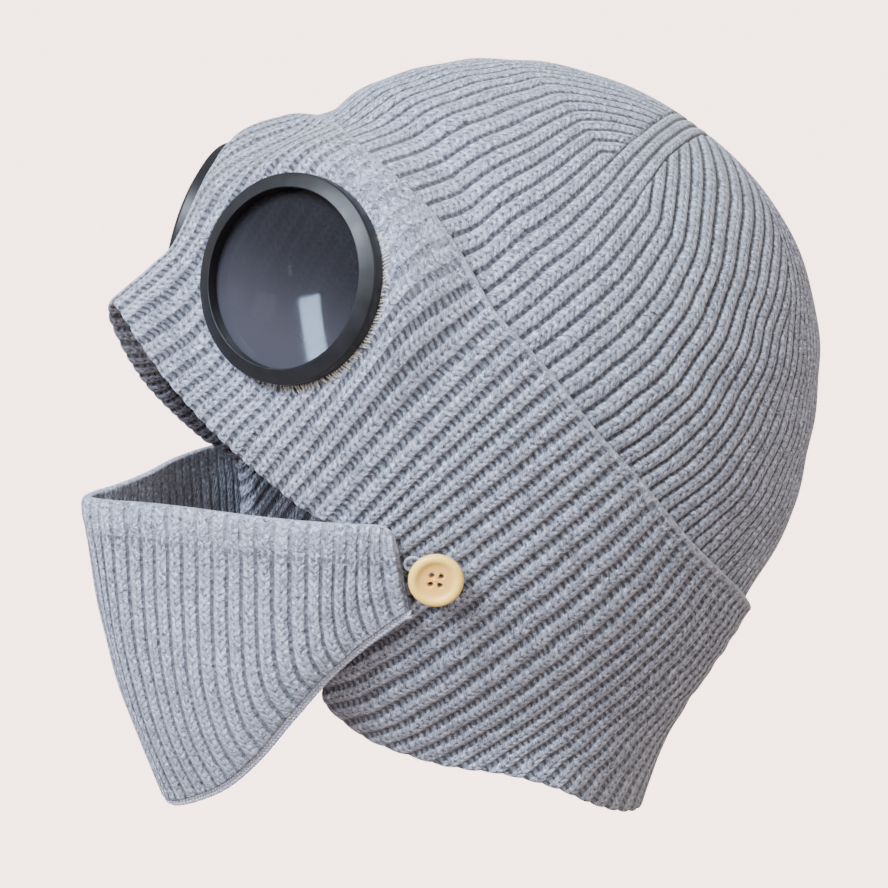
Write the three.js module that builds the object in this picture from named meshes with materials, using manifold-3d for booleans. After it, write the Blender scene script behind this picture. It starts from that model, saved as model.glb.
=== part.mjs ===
// Knitted aviator hat: a ribbed cap with a deep turned-up band that has a peak, ear flaps and a
// nape, two round goggles sewn on the brow, and a face panel buttoned to the ear flaps.
// Millimetres and degrees. The brow faces -Y, the wearer's left is +X and the crown is up.
// The origin lies under the crown's highest point, on the inner side of the knit.
import * as THREE from 'three';
import Module from 'manifold-3d';
import { mergeVertices } from 'three/addons/utils/BufferGeometryUtils.js';

const wasm = await Module();
wasm.setup();

// The rounded form that the worn hat takes, measured from the middle of the head.
const halfWidth = 86;
const halfLength = 116.8;
const rise = 103;
const drop = 152.7;

// The knit. The band is folded double at its lower edge and single where the crown slips in.
const knitWall = 3;
const layerGap = 0.6;
const gap = 0.3;
const bandRibPitch = 7.1;
const bandRibDepth = 1.5;
const crownRibPitch = 6.4;
const crownRibDepth = 1.3;
const edgeRoll = 0.9;

// The band and the crown turn about axes that lean back from the vertical.
const bandTilt = 48.9;
const crownTilt = 41.5;
const crownSeatFall = 12;
const crownPuff = 1.6;
const crownShoulder = 0.7;
const decreaseFall = 48;

// Sections of the band from the brow, turn 0, to the nape, turn 180. A rib starts at turn on the
// upper edge, and midLean and lowLean are how far it has turned halfway down and at its foot.
// Falls are angles from the band's axis, and flare is how far the lower edge stands out, as a
// share of the form's radius.
const BAND = [
  { turn: 0, top: 84, midLean: 0, lowLean: 0, low: 126, flare: 0.17 },
  { turn: 20, top: 83.5, midLean: 0, lowLean: -1, low: 134, flare: 0.1 },
  { turn: 40, top: 84, midLean: 0, lowLean: -3.5, low: 140.5, flare: 0.03 },
  { turn: 60, top: 90.2, midLean: -1, lowLean: -2, low: 142.5, flare: 0.01 },
  { turn: 72, top: 90.6, midLean: 0, lowLean: 2, low: 141, flare: 0.01 },
  { turn: 84, top: 91, midLean: -3, lowLean: -1, low: 144.5, flare: 0.01 },
  { turn: 97, top: 91.6, midLean: -6, lowLean: -1, low: 151.5, flare: 0.015 },
  { turn: 111, top: 91, midLean: -6, lowLean: 15.5, low: 158.2, flare: 0.02 },
  { turn: 121, top: 90.9, midLean: -7.5, lowLean: 20, low: 153.4, flare: 0.02 },
  { turn: 132, top: 90.5, midLean: -3, lowLean: 14.4, low: 144, flare: 0.03 },
  { turn: 144, top: 89, midLean: -0.5, lowLean: 4, low: 132.6, flare: 0.07 },
  { turn: 156, top: 87.5, midLean: 0.5, lowLean: -2, low: 123.5, flare: 0.12 },
  { turn: 180, top: 86, midLean: 0, lowLean: 0, low: 111.3, flare: 0.144 },
];
const flareBend = 4;

// Wedges of the crown from brow to nape, as shares of half the ribs. Ribs end on the borders.
const CROWN_WEDGES = [
  { share: 0.31 },
  { share: 0.34 },
  { share: 0.35 },
];

// The goggles. Turn and fall say where a ring sits on the band, yaw and pitch where it faces.
const goggleTurn = 27.5;
const goggleFall = 111;
const goggleYaw = 37;
const gogglePitch = 13;
const gogglePress = 3.5;
const goggleRadius = 34.2;
const goggleWall = 5;
const goggleBevel = 2.2;
const goggleHeight = 6.9;
const goggleMargin = 4;
const goggleBlend = 18;
const goggleSlack = 0.8;
const lensDepth = 5;
const lensRim = 1.5;
const lensDome = 1.4;
const lensBreak = 0.6;

// The buttons on the ear flaps, each with its thread shank and a yarn loop of the panel.
const buttonTurn = 97.4;
const buttonFall = 133.4;
const buttonTip = 6;
const buttonRadius = 9;
const buttonThickness = 3.4;
const buttonBackRound = 1.2;
const buttonEdgeRound = 0.7;
const buttonRimWidth = 2;
const buttonRimCrest = 0.6;
const buttonRimSlope = 0.3;
const buttonDish = 1;
const buttonDishEdge = 0.7;
const buttonHoleRadius = 1.05;
const buttonHoleSpacing = 2.1;
const shankRadius = 1.4;
const loopYarnRadius = 0.7;
const loopShare = 0.35;
const loopInset = 2.4;

// The face panel, which hangs from the buttons. Its upper edge lies panelTop above them and its
// front panelReach ahead of them. Its ribs hang from the upper edge. Along runs from the front, 0,
// to an end, 1. wide and ahead place a rib's top and lowWide and lowAhead its foot, as shares of
// the half span and of the reach, and drop is how far down the foot lies, as a share of the height.
// bend is how late a rib leaves the upright for its foot.
const panelReach = 98.3;
const panelTop = 16.5;
const panelHeight = 109;
const panelWall = 3;
const panelRibPitch = 4.9;
const panelRibDepth = 1;
const hemHeight = 9.5;
const bindingRadius = 1.6;
const PANEL = [
  { along: 0, wide: 1.2, ahead: 1.002, lowWide: 0.7, lowAhead: 0.73, drop: 1, bend: 1.55 },
  { along: 0.1, wide: 1.15, ahead: 0.946, lowWide: 0.769, lowAhead: 0.708, drop: 1, bend: 2.2 },
  { along: 0.19, wide: 1.05, ahead: 0.863, lowWide: 0.879, lowAhead: 0.654, drop: 0.975, bend: 3 },
  { along: 0.33, wide: 1.015, ahead: 0.756, lowWide: 0.964, lowAhead: 0.576, drop: 0.911, bend: 4.3 },
  { along: 0.5, wide: 1.02, ahead: 0.64, lowWide: 0.998, lowAhead: 0.494, drop: 0.794, bend: 6 },
  { along: 0.66, wide: 1.01, ahead: 0.527, lowWide: 0.991, lowAhead: 0.397, drop: 0.642, bend: 7.5 },
  { along: 0.83, wide: 1.01, ahead: 0.361, lowWide: 0.967, lowAhead: 0.27, drop: 0.469, bend: 8 },
  { along: 1, wide: 1, ahead: 0.161, lowWide: 0.985, lowAhead: 0.096, drop: 0.29, bend: 0.9 },
];
const flapBulge = 0.025;
const flapBlend = 2.2;
const panelGap = 0.5;

// Mesh fineness.
const bandEdgeRow = 0.025;
const bandFoldRow = 0.96;
const bandRows = [0.09, 0.19, 0.32, 0.48, 0.64, 0.8, 0.93];
const crownRows = [0.97, 0.83, 0.69, 0.54, 0.39, 0.25, 0.12];
const seatRows = 3;
const innerColumns = 48;
const liningColumns = 32;
const roundSides = 30;
const panelRows = [0, 0.46, 0.76, 0.91, 1];
const buttonSides = 18;
const holeSides = 6;
const bindingSteps = 36;
const loopSteps = 18;
const yarnSides = 5;
const shankSides = 10;
const girthSteps = 720;
const spanSteps = 40;

const KNIT = { color: 0x9ba1a8, roughness: 0.95, metalness: 0 };
const RIM = { color: 0x2c2e31, roughness: 0.45, metalness: 0 };
const LENS = { color: 0x4a4b52, roughness: 0.08, metalness: 0 };
const WOOD = { color: 0xe6cf9c, roughness: 0.5, metalness: 0 };
const THREAD = { color: 0xb9bcc0, roughness: 0.95, metalness: 0 };

const { degToRad, lerp, smoothstep, clamp } = THREE.MathUtils;
const vec = (x, y, z) => new THREE.Vector3(x, y, z);
const centre = vec(0, 0, knitWall - rise - crownPuff);
const crownInset = knitWall + layerGap;
const doubleWall = crownInset + knitWall;
const buttonLift = gap + panelWall + gap;

// A smooth look-up in a table, mirrored at both ends.
function readTable(table, key, column, at) {
  const last = table.length - 1;
  const row = (i) => {
    if (i < 0) return { x: 2 * table[0][key] - table[-i][key], y: table[-i][column] };
    if (i > last) {
      return { x: 2 * table[last][key] - table[2 * last - i][key], y: table[2 * last - i][column] };
    }
    return { x: table[i][key], y: table[i][column] };
  };
  let i = 0;
  while (i < last - 1 && at > table[i + 1][key]) i += 1;
  const [a, b, c, d] = [row(i - 1), row(i), row(i + 1), row(i + 2)];
  const width = c.x - b.x;
  const s = clamp((at - b.x) / width, 0, 1);
  const slopeB = ((c.y - a.y) / (c.x - a.x)) * width;
  const slopeC = ((d.y - b.y) / (d.x - b.x)) * width;
  const s2 = s * s;
  const s3 = s2 * s;
  return (2 * s3 - 3 * s2 + 1) * b.y + (s3 - 2 * s2 + s) * slopeB
    + (3 * s2 - 2 * s3) * c.y + (s3 - s2) * slopeC;
}

// The direction at a turn and a fall about an axis that leans back by tilt.
function heading(tilt, turn, fall) {
  const [lean, t, f] = [degToRad(tilt), degToRad(turn), degToRad(fall)];
  const axis = vec(0, Math.sin(lean), Math.cos(lean));
  const brow = vec(0, -Math.cos(lean), Math.sin(lean));
  return axis.multiplyScalar(Math.cos(f))
    .addScaledVector(brow, Math.cos(t) * Math.sin(f))
    .addScaledVector(vec(1, 0, 0), Math.sin(t) * Math.sin(f));
}

function formRadius(d) {
  const height = d.z > 0 ? rise : drop;
  return 1 / Math.hypot(d.x / halfWidth, d.y / halfLength, d.z / height);
}

function formNormal(d) {
  const height = d.z > 0 ? rise : drop;
  return vec(d.x / halfWidth ** 2, d.y / halfLength ** 2, d.z / height ** 2).normalize();
}

// Where a goggle's base plane lies, for the left side or, mirrored, for the right.
function goggleSeat(side) {
  const d = heading(bandTilt, side * goggleTurn, goggleFall);
  const [yaw, pitch] = [degToRad(goggleYaw), degToRad(gogglePitch)];
  const facing = vec(
    side * Math.sin(yaw) * Math.cos(pitch),
    -Math.cos(yaw) * Math.cos(pitch),
    Math.sin(pitch),
  );
  const place = d.clone().multiplyScalar(formRadius(d)).add(centre);
  return { place: place.addScaledVector(facing, -gogglePress), facing };
}
const goggleSeats = [1, -1].map(goggleSeat);

// A point of the knit, pressed flat behind each goggle. inset counts inwards from the outside.
function knitPoint(d, stretch, inset) {
  const point = d.clone().multiplyScalar(formRadius(d) * stretch - inset).add(centre);
  for (const { place, facing } of goggleSeats) {
    const offset = point.clone().sub(place);
    const depth = offset.dot(facing);
    const away = offset.addScaledVector(facing, -depth).length();
    const flat = goggleRadius + goggleMargin;
    const hold = 1 - smoothstep(away, flat, flat + goggleBlend);
    const inFront = depth > -halfLength / 2 ? 1 : 0;
    point.addScaledVector(facing, (-gap - goggleSlack - inset - depth) * hold * inFront);
  }
  return point;
}

// Turns that divide the band evenly along its girth, from the brow round to the brow.
const girth = (() => {
  const steps = girthSteps;
  const fall = BAND[0].top + crownSeatFall;
  const spot = (i) => {
    const d = heading(bandTilt, (i / steps) * 360, fall);
    return d.multiplyScalar(formRadius(d));
  };
  const run = [0];
  for (let i = 1; i <= steps; i += 1) run.push(run[i - 1] + spot(i).distanceTo(spot(i - 1)));
  const length = run[steps];
  const turnAt = (share) => {
    const goal = (share - Math.floor(share)) * length;
    let i = 0;
    while (run[i + 1] < goal) i += 1;
    return ((i + (goal - run[i]) / (run[i + 1] - run[i])) / steps) * 360;
  };
  return { length, turnAt };
})();

// The band's rib that starts at a turn, at a share of the way down.
function bandPoint(turn, down, inset) {
  const side = turn > 180 ? -1 : 1;
  const start = turn > 180 ? 360 - turn : turn;
  const read = (column) => readTable(BAND, 'turn', column, start);
  const lean = read('midLean') * 4 * down * (1 - down) + read('lowLean') * down * (2 * down - 1);
  const fall = lerp(read('top'), read('low'), down);
  const d = heading(bandTilt, side * (start + lean), fall);
  return knitPoint(d, 1 + read('flare') * down ** flareBend, inset);
}

function topFall(turn) {
  return readTable(BAND, 'turn', 'top', turn > 180 ? 360 - turn : turn);
}

function bandSpan(turn) {
  const start = turn > 180 ? 360 - turn : turn;
  return readTable(BAND, 'turn', 'low', start) - readTable(BAND, 'turn', 'top', start);
}

// How far down the crown's seat its rows of points lie, as shares of its depth.
const seatShares = Array.from({ length: seatRows + 1 }, (_, i) => i / seatRows);

// A closed shell that is put together from rings and rows of points.
class Shell {
  constructor() {
    this.points = [];
    this.faces = [];
  }

  row(points) {
    return points.map((p) => this.points.push(p) - 1);
  }

  // Two closed rings, whatever their counts, joined by a belt of triangles.
  belt(a, b) {
    let [i, j] = [0, 0];
    while (i < a.length || j < b.length) {
      const here = [a[i % a.length], b[j % b.length]];
      if (j === b.length || (i < a.length && (i + 0.5) / a.length <= (j + 0.5) / b.length)) {
        i += 1;
        this.faces.push([here[0], a[i % a.length], here[1]]);
      } else {
        j += 1;
        this.faces.push([here[0], b[j % b.length], here[1]]);
      }
    }
  }

  // Two open rows joined by a strip.
  strip(a, b) {
    let [i, j] = [0, 0];
    while (i < a.length - 1 || j < b.length - 1) {
      const [ahead, behind] = [(i + 0.5) / (a.length - 1), (j + 0.5) / (b.length - 1)];
      if (j === b.length - 1 || (i < a.length - 1 && ahead <= behind)) {
        this.faces.push([a[i], a[i + 1], b[j]]);
        i += 1;
      } else {
        this.faces.push([a[i], b[j + 1], b[j]]);
        j += 1;
      }
    }
  }

  fan(ring, tip) {
    ring.forEach((id, i) => this.faces.push([id, ring[(i + 1) % ring.length], tip]));
  }

  geometry() {
    let volume = 0;
    for (const [i, j, k] of this.faces) {
      const [a, b, c] = [this.points[i], this.points[j], this.points[k]];
      volume += a.dot(b.clone().cross(c));
    }
    const faces = volume < 0 ? this.faces.map(([i, j, k]) => [i, k, j]) : this.faces;
    const geometry = new THREE.BufferGeometry();
    geometry.setAttribute(
      'position',
      new THREE.Float32BufferAttribute(this.points.flatMap((p) => p.toArray()), 3),
    );
    geometry.setIndex(faces.flat());
    return geometry;
  }
}

// The turned-up band: a folded wall with ribs outside and a step inside for the crown.
function bandGeometry() {
  const ribs = 2 * Math.round(girth.length / bandRibPitch / 2);
  const shell = new Shell();
  const outside = (down, inset, depth) => {
    const points = [];
    for (let i = 0; i < 2 * ribs; i += 1) {
      points.push(bandPoint(girth.turnAt(i / 2 / ribs), down, inset + (i % 2) * depth));
    }
    return shell.row(points);
  };
  const inside = (place, inset) => {
    const points = [];
    for (let i = 0; i < innerColumns; i += 1) {
      const turn = girth.turnAt(i / innerColumns);
      points.push(bandPoint(turn, place(turn), inset));
    }
    return shell.row(points);
  };
  const step = (turn) => crownSeatFall / bandSpan(turn);
  const rings = [
    outside(0, edgeRoll, 0),
    outside(bandEdgeRow, 0, 0),
    ...bandRows.map((down) => outside(down, 0, bandRibDepth)),
    outside(1, edgeRoll, bandRibDepth / 2),
    inside(() => 1, doubleWall - edgeRoll),
    inside(() => bandFoldRow, doubleWall),
    inside((turn) => (1 + step(turn)) / 2, doubleWall),
    inside(step, doubleWall),
    ...seatShares.map((share) => inside((turn) => step(turn) * share, knitWall)).reverse(),
  ];
  rings.forEach((ring, i) => shell.belt(ring, rings[(i + 1) % rings.length]));
  return shell.geometry();
}

// The direction of the band's upper edge at a share of the girth.
function edgeHeading(share) {
  const turn = girth.turnAt(share);
  return heading(bandTilt, turn, topFall(turn));
}

// A crown point part of the way from the pole, 0, to the band's upper edge, 1.
function crownPoint(share, out, inset) {
  const pole = heading(crownTilt, 0, 0);
  const edge = edgeHeading(share);
  const whole = pole.angleTo(edge);
  const side = edge.addScaledVector(pole, -Math.cos(whole)).normalize();
  const d = pole.multiplyScalar(Math.cos(whole * out)).addScaledVector(side, Math.sin(whole * out));
  const puff = crownPuff * Math.sin(Math.PI * out);
  return knitPoint(d, 1, crownInset * smoothstep(out, crownShoulder, 1) - puff + inset);
}

// A crown point inside the band, below its upper edge by a fall.
function seatPoint(share, fall, inset) {
  const turn = girth.turnAt(share);
  const down = fall / bandSpan(turn);
  return bandPoint(turn, down, inset);
}

// The crown: ribs run up from the band and end along the borders between the wedges.
function crownGeometry() {
  const half = Math.round(girth.length / crownRibPitch / 2);
  const wedges = [];
  let used = 0;
  CROWN_WEDGES.forEach(({ share }, i) => {
    const isLast = i === CROWN_WEDGES.length - 1;
    const ribs = isLast ? half - used : Math.round(share * half);
    wedges.push({ start: used / half / 2, width: ribs / half / 2, ribs });
    used += ribs;
  });
  const mirrored = wedges.map((w) => ({ ...w, start: 1 - w.start - w.width })).reverse();
  const all = [...wedges, ...mirrored];
  const shell = new Shell();

  const kept = (ribs, out) => {
    const narrowed = Math.sin(degToRad(90 * out)) / Math.sin(degToRad(decreaseFall));
    return Math.max(1, Math.round(ribs * Math.min(1, narrowed)));
  };
  const ribbed = (out) => {
    const parts = all.map(({ start, width, ribs }) => {
      const count = 2 * kept(ribs, out);
      const points = [];
      for (let i = 0; i < count; i += 1) {
        const share = start + (width * i) / count;
        points.push(crownPoint(share, out, (i % 2) * crownRibDepth));
      }
      return shell.row(points);
    });
    return parts;
  };
  const joinWedges = (low, high) => {
    low.forEach((part, w) => {
      const next = (w + 1) % low.length;
      const a = [...part, low[next][0]];
      const b = [...high[w], high[next][0]];
      const dropped = a.length - b.length;
      const before = 2 * Math.floor(dropped / 4);
      for (let i = 0; i < before; i += 1) shell.faces.push([a[i], a[i + 1], b[0]]);
      for (let i = 0; i < b.length - 1; i += 1) {
        const [j, k] = [a[before + i], a[before + i + 1]];
        shell.faces.push([j, k, b[i]], [k, b[i + 1], b[i]]);
      }
      for (let i = before + b.length - 1; i < a.length - 1; i += 1) {
        shell.faces.push([a[i], a[i + 1], b[b.length - 1]]);
      }
    });
  };
  const smooth = (point, columns = innerColumns) => {
    const points = [];
    for (let i = 0; i < columns; i += 1) points.push(point(i / columns));
    return shell.row(points);
  };

  const clearance = THREE.MathUtils.radToDeg(gap / halfWidth);
  const footFall = crownSeatFall - 2 * clearance;
  const rows = crownRows.map(ribbed);
  rows.slice(1).forEach((row, i) => joinWedges(rows[i], row));
  const outerTip = shell.row([crownPoint(0, 0, 0)])[0];
  shell.fan(rows[rows.length - 1].flat(), outerTip);

  const seat = seatShares.map(
    (down) => smooth((share) => seatPoint(share, footFall * down, crownInset)),
  );
  const innerFoot = smooth((share) => seatPoint(share, footFall, doubleWall));
  shell.belt(seat[0], rows[0].flat());
  seat.slice(1).forEach((row, i) => shell.belt(row, seat[i]));
  shell.belt(innerFoot, seat[seat.length - 1]);
  const lining = (out, columns) => smooth((share) => crownPoint(share, out, knitWall), columns);
  const innerRows = [
    lining(1, innerColumns),
    ...crownRows.slice(1).map((out) => lining(out, liningColumns)),
  ];
  shell.belt(innerRows[0], innerFoot);
  innerRows.slice(1).forEach((row, i) => shell.belt(row, innerRows[i]));
  const innerTip = shell.row([crownPoint(0, 0, knitWall)])[0];
  shell.fan([...innerRows[innerRows.length - 1]].reverse(), innerTip);
  return shell.geometry();
}

// A turned body, its profile given as radius and height pairs, placed on a base plane.
function turned(profile, sides) {
  const outline = profile.map(([radius, height]) => new THREE.Vector2(radius, height));
  const geometry = new THREE.LatheGeometry([...outline, outline[0]], sides);
  geometry.rotateX(Math.PI / 2);
  return closed(geometry);
}

function closed(geometry) {
  geometry.deleteAttribute('normal');
  geometry.deleteAttribute('uv');
  const merged = mergeVertices(geometry, 1e-4);
  const index = merged.getIndex().array;
  const kept = [];
  for (let i = 0; i < index.length; i += 3) {
    const [a, b, c] = [index[i], index[i + 1], index[i + 2]];
    if (a !== b && b !== c && c !== a) kept.push([a, b, c]);
  }
  const shell = new Shell();
  const position = merged.getAttribute('position');
  for (let i = 0; i < position.count; i += 1) {
    shell.points.push(new THREE.Vector3().fromBufferAttribute(position, i));
  }
  shell.faces = kept;
  return shell.geometry();
}

function asSolid(geometry) {
  return new wasm.Manifold(new wasm.Mesh({
    numProp: 3,
    vertProperties: new Float32Array(geometry.getAttribute('position').array),
    triVerts: new Uint32Array(geometry.getIndex().array),
  }));
}

function asGeometry(solid) {
  const mesh = solid.getMesh();
  const geometry = new THREE.BufferGeometry();
  geometry.setAttribute('position', new THREE.BufferAttribute(mesh.vertProperties, 3));
  geometry.setIndex(new THREE.BufferAttribute(mesh.triVerts, 1));
  return geometry;
}

// The ring stands on its base plane, with a rebate behind for the lens.
function goggleRimGeometry() {
  const inner = goggleRadius - goggleWall;
  const ledge = goggleHeight - lensDepth;
  return turned([
    [inner, ledge + gap],
    [inner, goggleHeight],
    [goggleRadius, goggleHeight - goggleBevel],
    [goggleRadius, 0],
    [inner + lensRim, 0],
    [inner + lensRim, ledge + gap],
  ], roundSides);
}

function goggleLensGeometry() {
  const inner = goggleRadius - goggleWall;
  const edge = inner + lensRim - gap;
  const top = goggleHeight - lensDepth;
  return turned([
    [0, 0],
    [edge, 0],
    [edge, top],
    [inner - gap, top],
    [inner * lensBreak, top + lensDome * (1 - lensBreak ** 2)],
    [0, top + lensDome],
  ], roundSides);
}

// A four-hole button with a raised edge round a dished middle, its back on the base plane.
function buttonGeometry() {
  const body = asSolid(turned([
    [0, 0],
    [buttonRadius - buttonBackRound, 0],
    [buttonRadius, buttonThickness / 2],
    [buttonRadius - buttonEdgeRound, buttonThickness - buttonEdgeRound / 2],
    [buttonRadius - buttonRimWidth * buttonRimCrest, buttonThickness],
    [buttonRadius - buttonRimWidth * (1 + buttonRimSlope), buttonThickness - buttonDish * buttonDishEdge],
    [0, buttonThickness - buttonDish],
  ], buttonSides));
  const holes = [45, 135, 225, 315].map((turn) => {
    const hole = new THREE.CylinderGeometry(
      buttonHoleRadius,
      buttonHoleRadius,
      buttonThickness * 3,
      holeSides,
    );
    hole.rotateX(Math.PI / 2);
    hole.translate(
      buttonHoleSpacing * Math.cos(degToRad(turn)),
      buttonHoleSpacing * Math.sin(degToRad(turn)),
      0,
    );
    return asSolid(closed(hole));
  });
  return asGeometry(holes.reduce((solid, hole) => solid.subtract(hole), body));
}

// A round strand along points, closed on itself or with flat ends. up is never along the strand.
function strand(points, radius, up, isClosed) {
  const shell = new Shell();
  const last = points.length - 1;
  const rings = points.map((point, i) => {
    const before = points[isClosed ? (i + last) % (last + 1) : Math.max(i - 1, 0)];
    const after = points[isClosed ? (i + 1) % (last + 1) : Math.min(i + 1, last)];
    const run = after.clone().sub(before).normalize();
    const across = run.clone().cross(up).normalize();
    const over = across.clone().cross(run);
    const ring = [];
    for (let s = 0; s < yarnSides; s += 1) {
      const angle = (s / yarnSides) * Math.PI * 2;
      ring.push(point.clone()
        .addScaledVector(across, radius * Math.cos(angle))
        .addScaledVector(over, radius * Math.sin(angle)));
    }
    return shell.row(ring);
  });
  rings.slice(1).forEach((ring, i) => shell.belt(rings[i], ring));
  if (isClosed) {
    shell.belt(rings[last], rings[0]);
  } else {
    const [start, end] = shell.row([points[0], points[last]]);
    shell.fan([...rings[0]].reverse(), start);
    shell.fan(rings[last], end);
  }
  return shell.geometry();
}

// A button's seat on the ear flap: its base plane and the way it faces.
function buttonSeat(side) {
  const d = heading(bandTilt, side * buttonTurn, buttonFall);
  const place = d.clone().multiplyScalar(formRadius(d)).add(centre);
  const normal = formNormal(d);
  const facing = normal.clone().addScaledVector(vec(0, 0, 1), Math.sin(degToRad(buttonTip)));
  return { place, normal, facing: facing.normalize() };
}

// The left button measured from the middle of the head, where the panel's left end hangs.
const buttonSpot = buttonSeat(1).place.sub(centre);
const panelHalfSpan = buttonSpot.x;

// The face panel's outer surface: along runs from the right end, -1, to the left end, 1.
// Where the head is wider than the panel, the panel is pushed out to the ear flap.
function panelSpot(along, down) {
  const read = (column) => readTable(PANEL, 'along', column, Math.abs(along));
  const bent = down ** read('bend');
  const wide = Math.abs(along) * panelHalfSpan * lerp(read('wide'), read('lowWide'), bent);
  const y = buttonSpot.y - panelReach * lerp(read('ahead'), read('lowAhead'), bent);
  const z = buttonSpot.z + panelTop - panelHeight * read('drop') * down;
  const clear = (half) => half * (1 + flapBulge) + panelWall + gap;
  const level = 1 - (z / clear(drop)) ** 2 - (y / clear(halfLength)) ** 2;
  const flap = clear(halfWidth) * Math.sign(level) * Math.sqrt(Math.abs(level));
  const pushed = (wide + flap + Math.hypot(wide - flap, flapBlend)) / 2;
  return vec(Math.sign(along) * pushed, y, z).add(centre);
}

// A point of the panel that lies inset from its outer side.
function panelPoint(along, down, inset) {
  const nudge = 0.01;
  const across = panelSpot(Math.min(along + nudge, 1), down)
    .sub(panelSpot(Math.max(along - nudge, -1), down));
  const fallLine = panelSpot(along, Math.min(down + nudge, 1))
    .sub(panelSpot(along, Math.max(down - nudge, 0)));
  const normal = fallLine.cross(across).normalize();
  return panelSpot(along, down).addScaledVector(normal, -inset);
}

function panelShare(along, length) {
  return length / (panelHeight * readTable(PANEL, 'along', 'drop', Math.abs(along)));
}

const panelSpan = (() => {
  let length = 0;
  for (let i = -spanSteps; i < spanSteps; i += 1) {
    length += panelSpot(i / spanSteps, 0).distanceTo(panelSpot((i + 1) / spanSteps, 0));
  }
  return length;
})();

// A wall that follows the panel between two heights, given as shares of the way down.
function panelWallGeometry(from, to, rows, columns, depth) {
  const shell = new Shell();
  const backColumns = Math.round(columns / 3);
  const lines = [];
  for (const share of rows) {
    const at = (along) => lerp(from(along), to(along), share);
    const front = [];
    for (let i = 0; i <= columns; i += 1) {
      const along = (2 * i) / columns - 1;
      front.push(panelPoint(along, at(along), (i % 2) * depth));
    }
    const back = [];
    for (let i = backColumns; i >= 0; i -= 1) {
      const along = (2 * i) / backColumns - 1;
      back.push(panelPoint(along, at(along), panelWall));
    }
    lines.push({ front: shell.row(front), back: shell.row(back) });
  }
  const loops = lines.map(({ front, back }) => [...front, ...back]);
  loops.slice(1).forEach((loop, r) => {
    loop.forEach((id, i) => {
      const next = (i + 1) % loop.length;
      shell.faces.push([loops[r][i], loops[r][next], id], [loops[r][next], loop[next], id]);
    });
  });
  const cap = ({ front, back }, flip) => {
    const before = shell.faces.length;
    shell.strip(front, [...back].reverse());
    if (flip) {
      for (let i = before; i < shell.faces.length; i += 1) shell.faces[i].reverse();
    }
  };
  cap(lines[0], true);
  cap(lines[lines.length - 1], false);
  return shell.geometry();
}

const panelRibs = 2 * Math.round(panelSpan / panelRibPitch / 2);
const hemFoot = (along) => panelShare(along, hemHeight);
const panelFoot = (along) => 1 - panelShare(along, 2 * bindingRadius + panelGap);

function bindingGeometry() {
  const points = [];
  for (let i = 0; i <= bindingSteps; i += 1) {
    const along = (2 * i) / bindingSteps - 1;
    const down = 1 - panelShare(along, bindingRadius);
    points.push(panelPoint(along, down, panelWall / 2));
  }
  return strand(points, bindingRadius, vec(0, 0, 1), false);
}

// A yarn loop that runs round a button's shank from the panel's end.
function loopGeometry(side) {
  const { place, normal } = buttonSeat(side);
  const hub = place.clone().addScaledVector(normal, 2 * gap + loopYarnRadius);
  const end = panelPoint(side, loopShare, loopInset);
  const bend = shankRadius + gap + loopYarnRadius;
  const along = end.clone().sub(hub);
  const reach = along.length() - 4 * gap - loopYarnRadius - bend;
  along.normalize();
  const up = along.clone().cross(normal).cross(along).normalize();
  const across = up.clone().cross(along);
  const points = [];
  for (let i = 0; i < loopSteps; i += 1) {
    const angle = ((i + 0.5) / loopSteps) * Math.PI * 2;
    const shift = Math.cos(angle) > 0 ? reach : 0;
    points.push(hub.clone()
      .addScaledVector(along, shift + bend * Math.cos(angle))
      .addScaledVector(across, bend * Math.sin(angle)));
  }
  return strand(points, loopYarnRadius, up, true);
}

function material(look) {
  return new THREE.MeshStandardMaterial({
    color: look.color,
    roughness: look.roughness,
    metalness: look.metalness,
  });
}

function piece(name, geometry, look) {
  const mesh = new THREE.Mesh(geometry, material(look));
  mesh.name = name;
  return mesh;
}

// A piece that stands on a base plane, turned to face along the plane's axis.
function seated(name, geometry, look, place, facing) {
  const mesh = piece(name, geometry, look);
  mesh.position.copy(place);
  mesh.up.set(0, 0, 1);
  mesh.lookAt(place.clone().add(facing));
  return mesh;
}

const hat = new THREE.Group();
hat.add(piece('crown', crownGeometry(), KNIT));
hat.add(piece('cuff', bandGeometry(), KNIT));

[1, -1].forEach((side, i) => {
  const hand = side > 0 ? 'left' : 'right';
  const { place, facing } = goggleSeats[i];
  hat.add(seated(`goggle_rim_${hand}`, goggleRimGeometry(), RIM, place, facing));
  hat.add(seated(`goggle_lens_${hand}`, goggleLensGeometry(), LENS, place, facing));
});

[1, -1].forEach((side) => {
  const hand = side > 0 ? 'left' : 'right';
  const { place, normal, facing } = buttonSeat(side);
  const back = place.clone().addScaledVector(normal, buttonLift + gap);
  hat.add(seated(`button_${hand}`, buttonGeometry(), WOOD, back, facing));
  const height = buttonLift - gap;
  const profile = [[0, 0], [shankRadius, 0], [shankRadius, height], [0, height]];
  const shank = turned(profile, shankSides);
  const foot = place.clone().addScaledVector(normal, gap);
  hat.add(seated(`button_shank_${hand}`, shank, THREAD, foot, normal));
  hat.add(piece(`button_loop_${hand}`, loopGeometry(side), THREAD));
});

hat.add(piece(
  'mask_hem',
  panelWallGeometry(() => 0, hemFoot, [0, 1], panelRibs, 0),
  KNIT,
));
hat.add(piece(
  'mask_panel',
  panelWallGeometry(
    (along) => hemFoot(along) + panelShare(along, panelGap),
    panelFoot,
    panelRows,
    2 * panelRibs,
    panelRibDepth,
  ),
  KNIT,
));
hat.add(piece('mask_binding', bindingGeometry(), KNIT));

export default hat;
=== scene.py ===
"""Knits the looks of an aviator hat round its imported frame: a ribbed crown and cuff, two goggles,
buttons with yarn loops, and a ribbed face panel. Tables and shapes are in millimetres and degrees.
The brow faces -Y, the wearer's left is +X, and the origin is at the top of the head hollow."""

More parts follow.
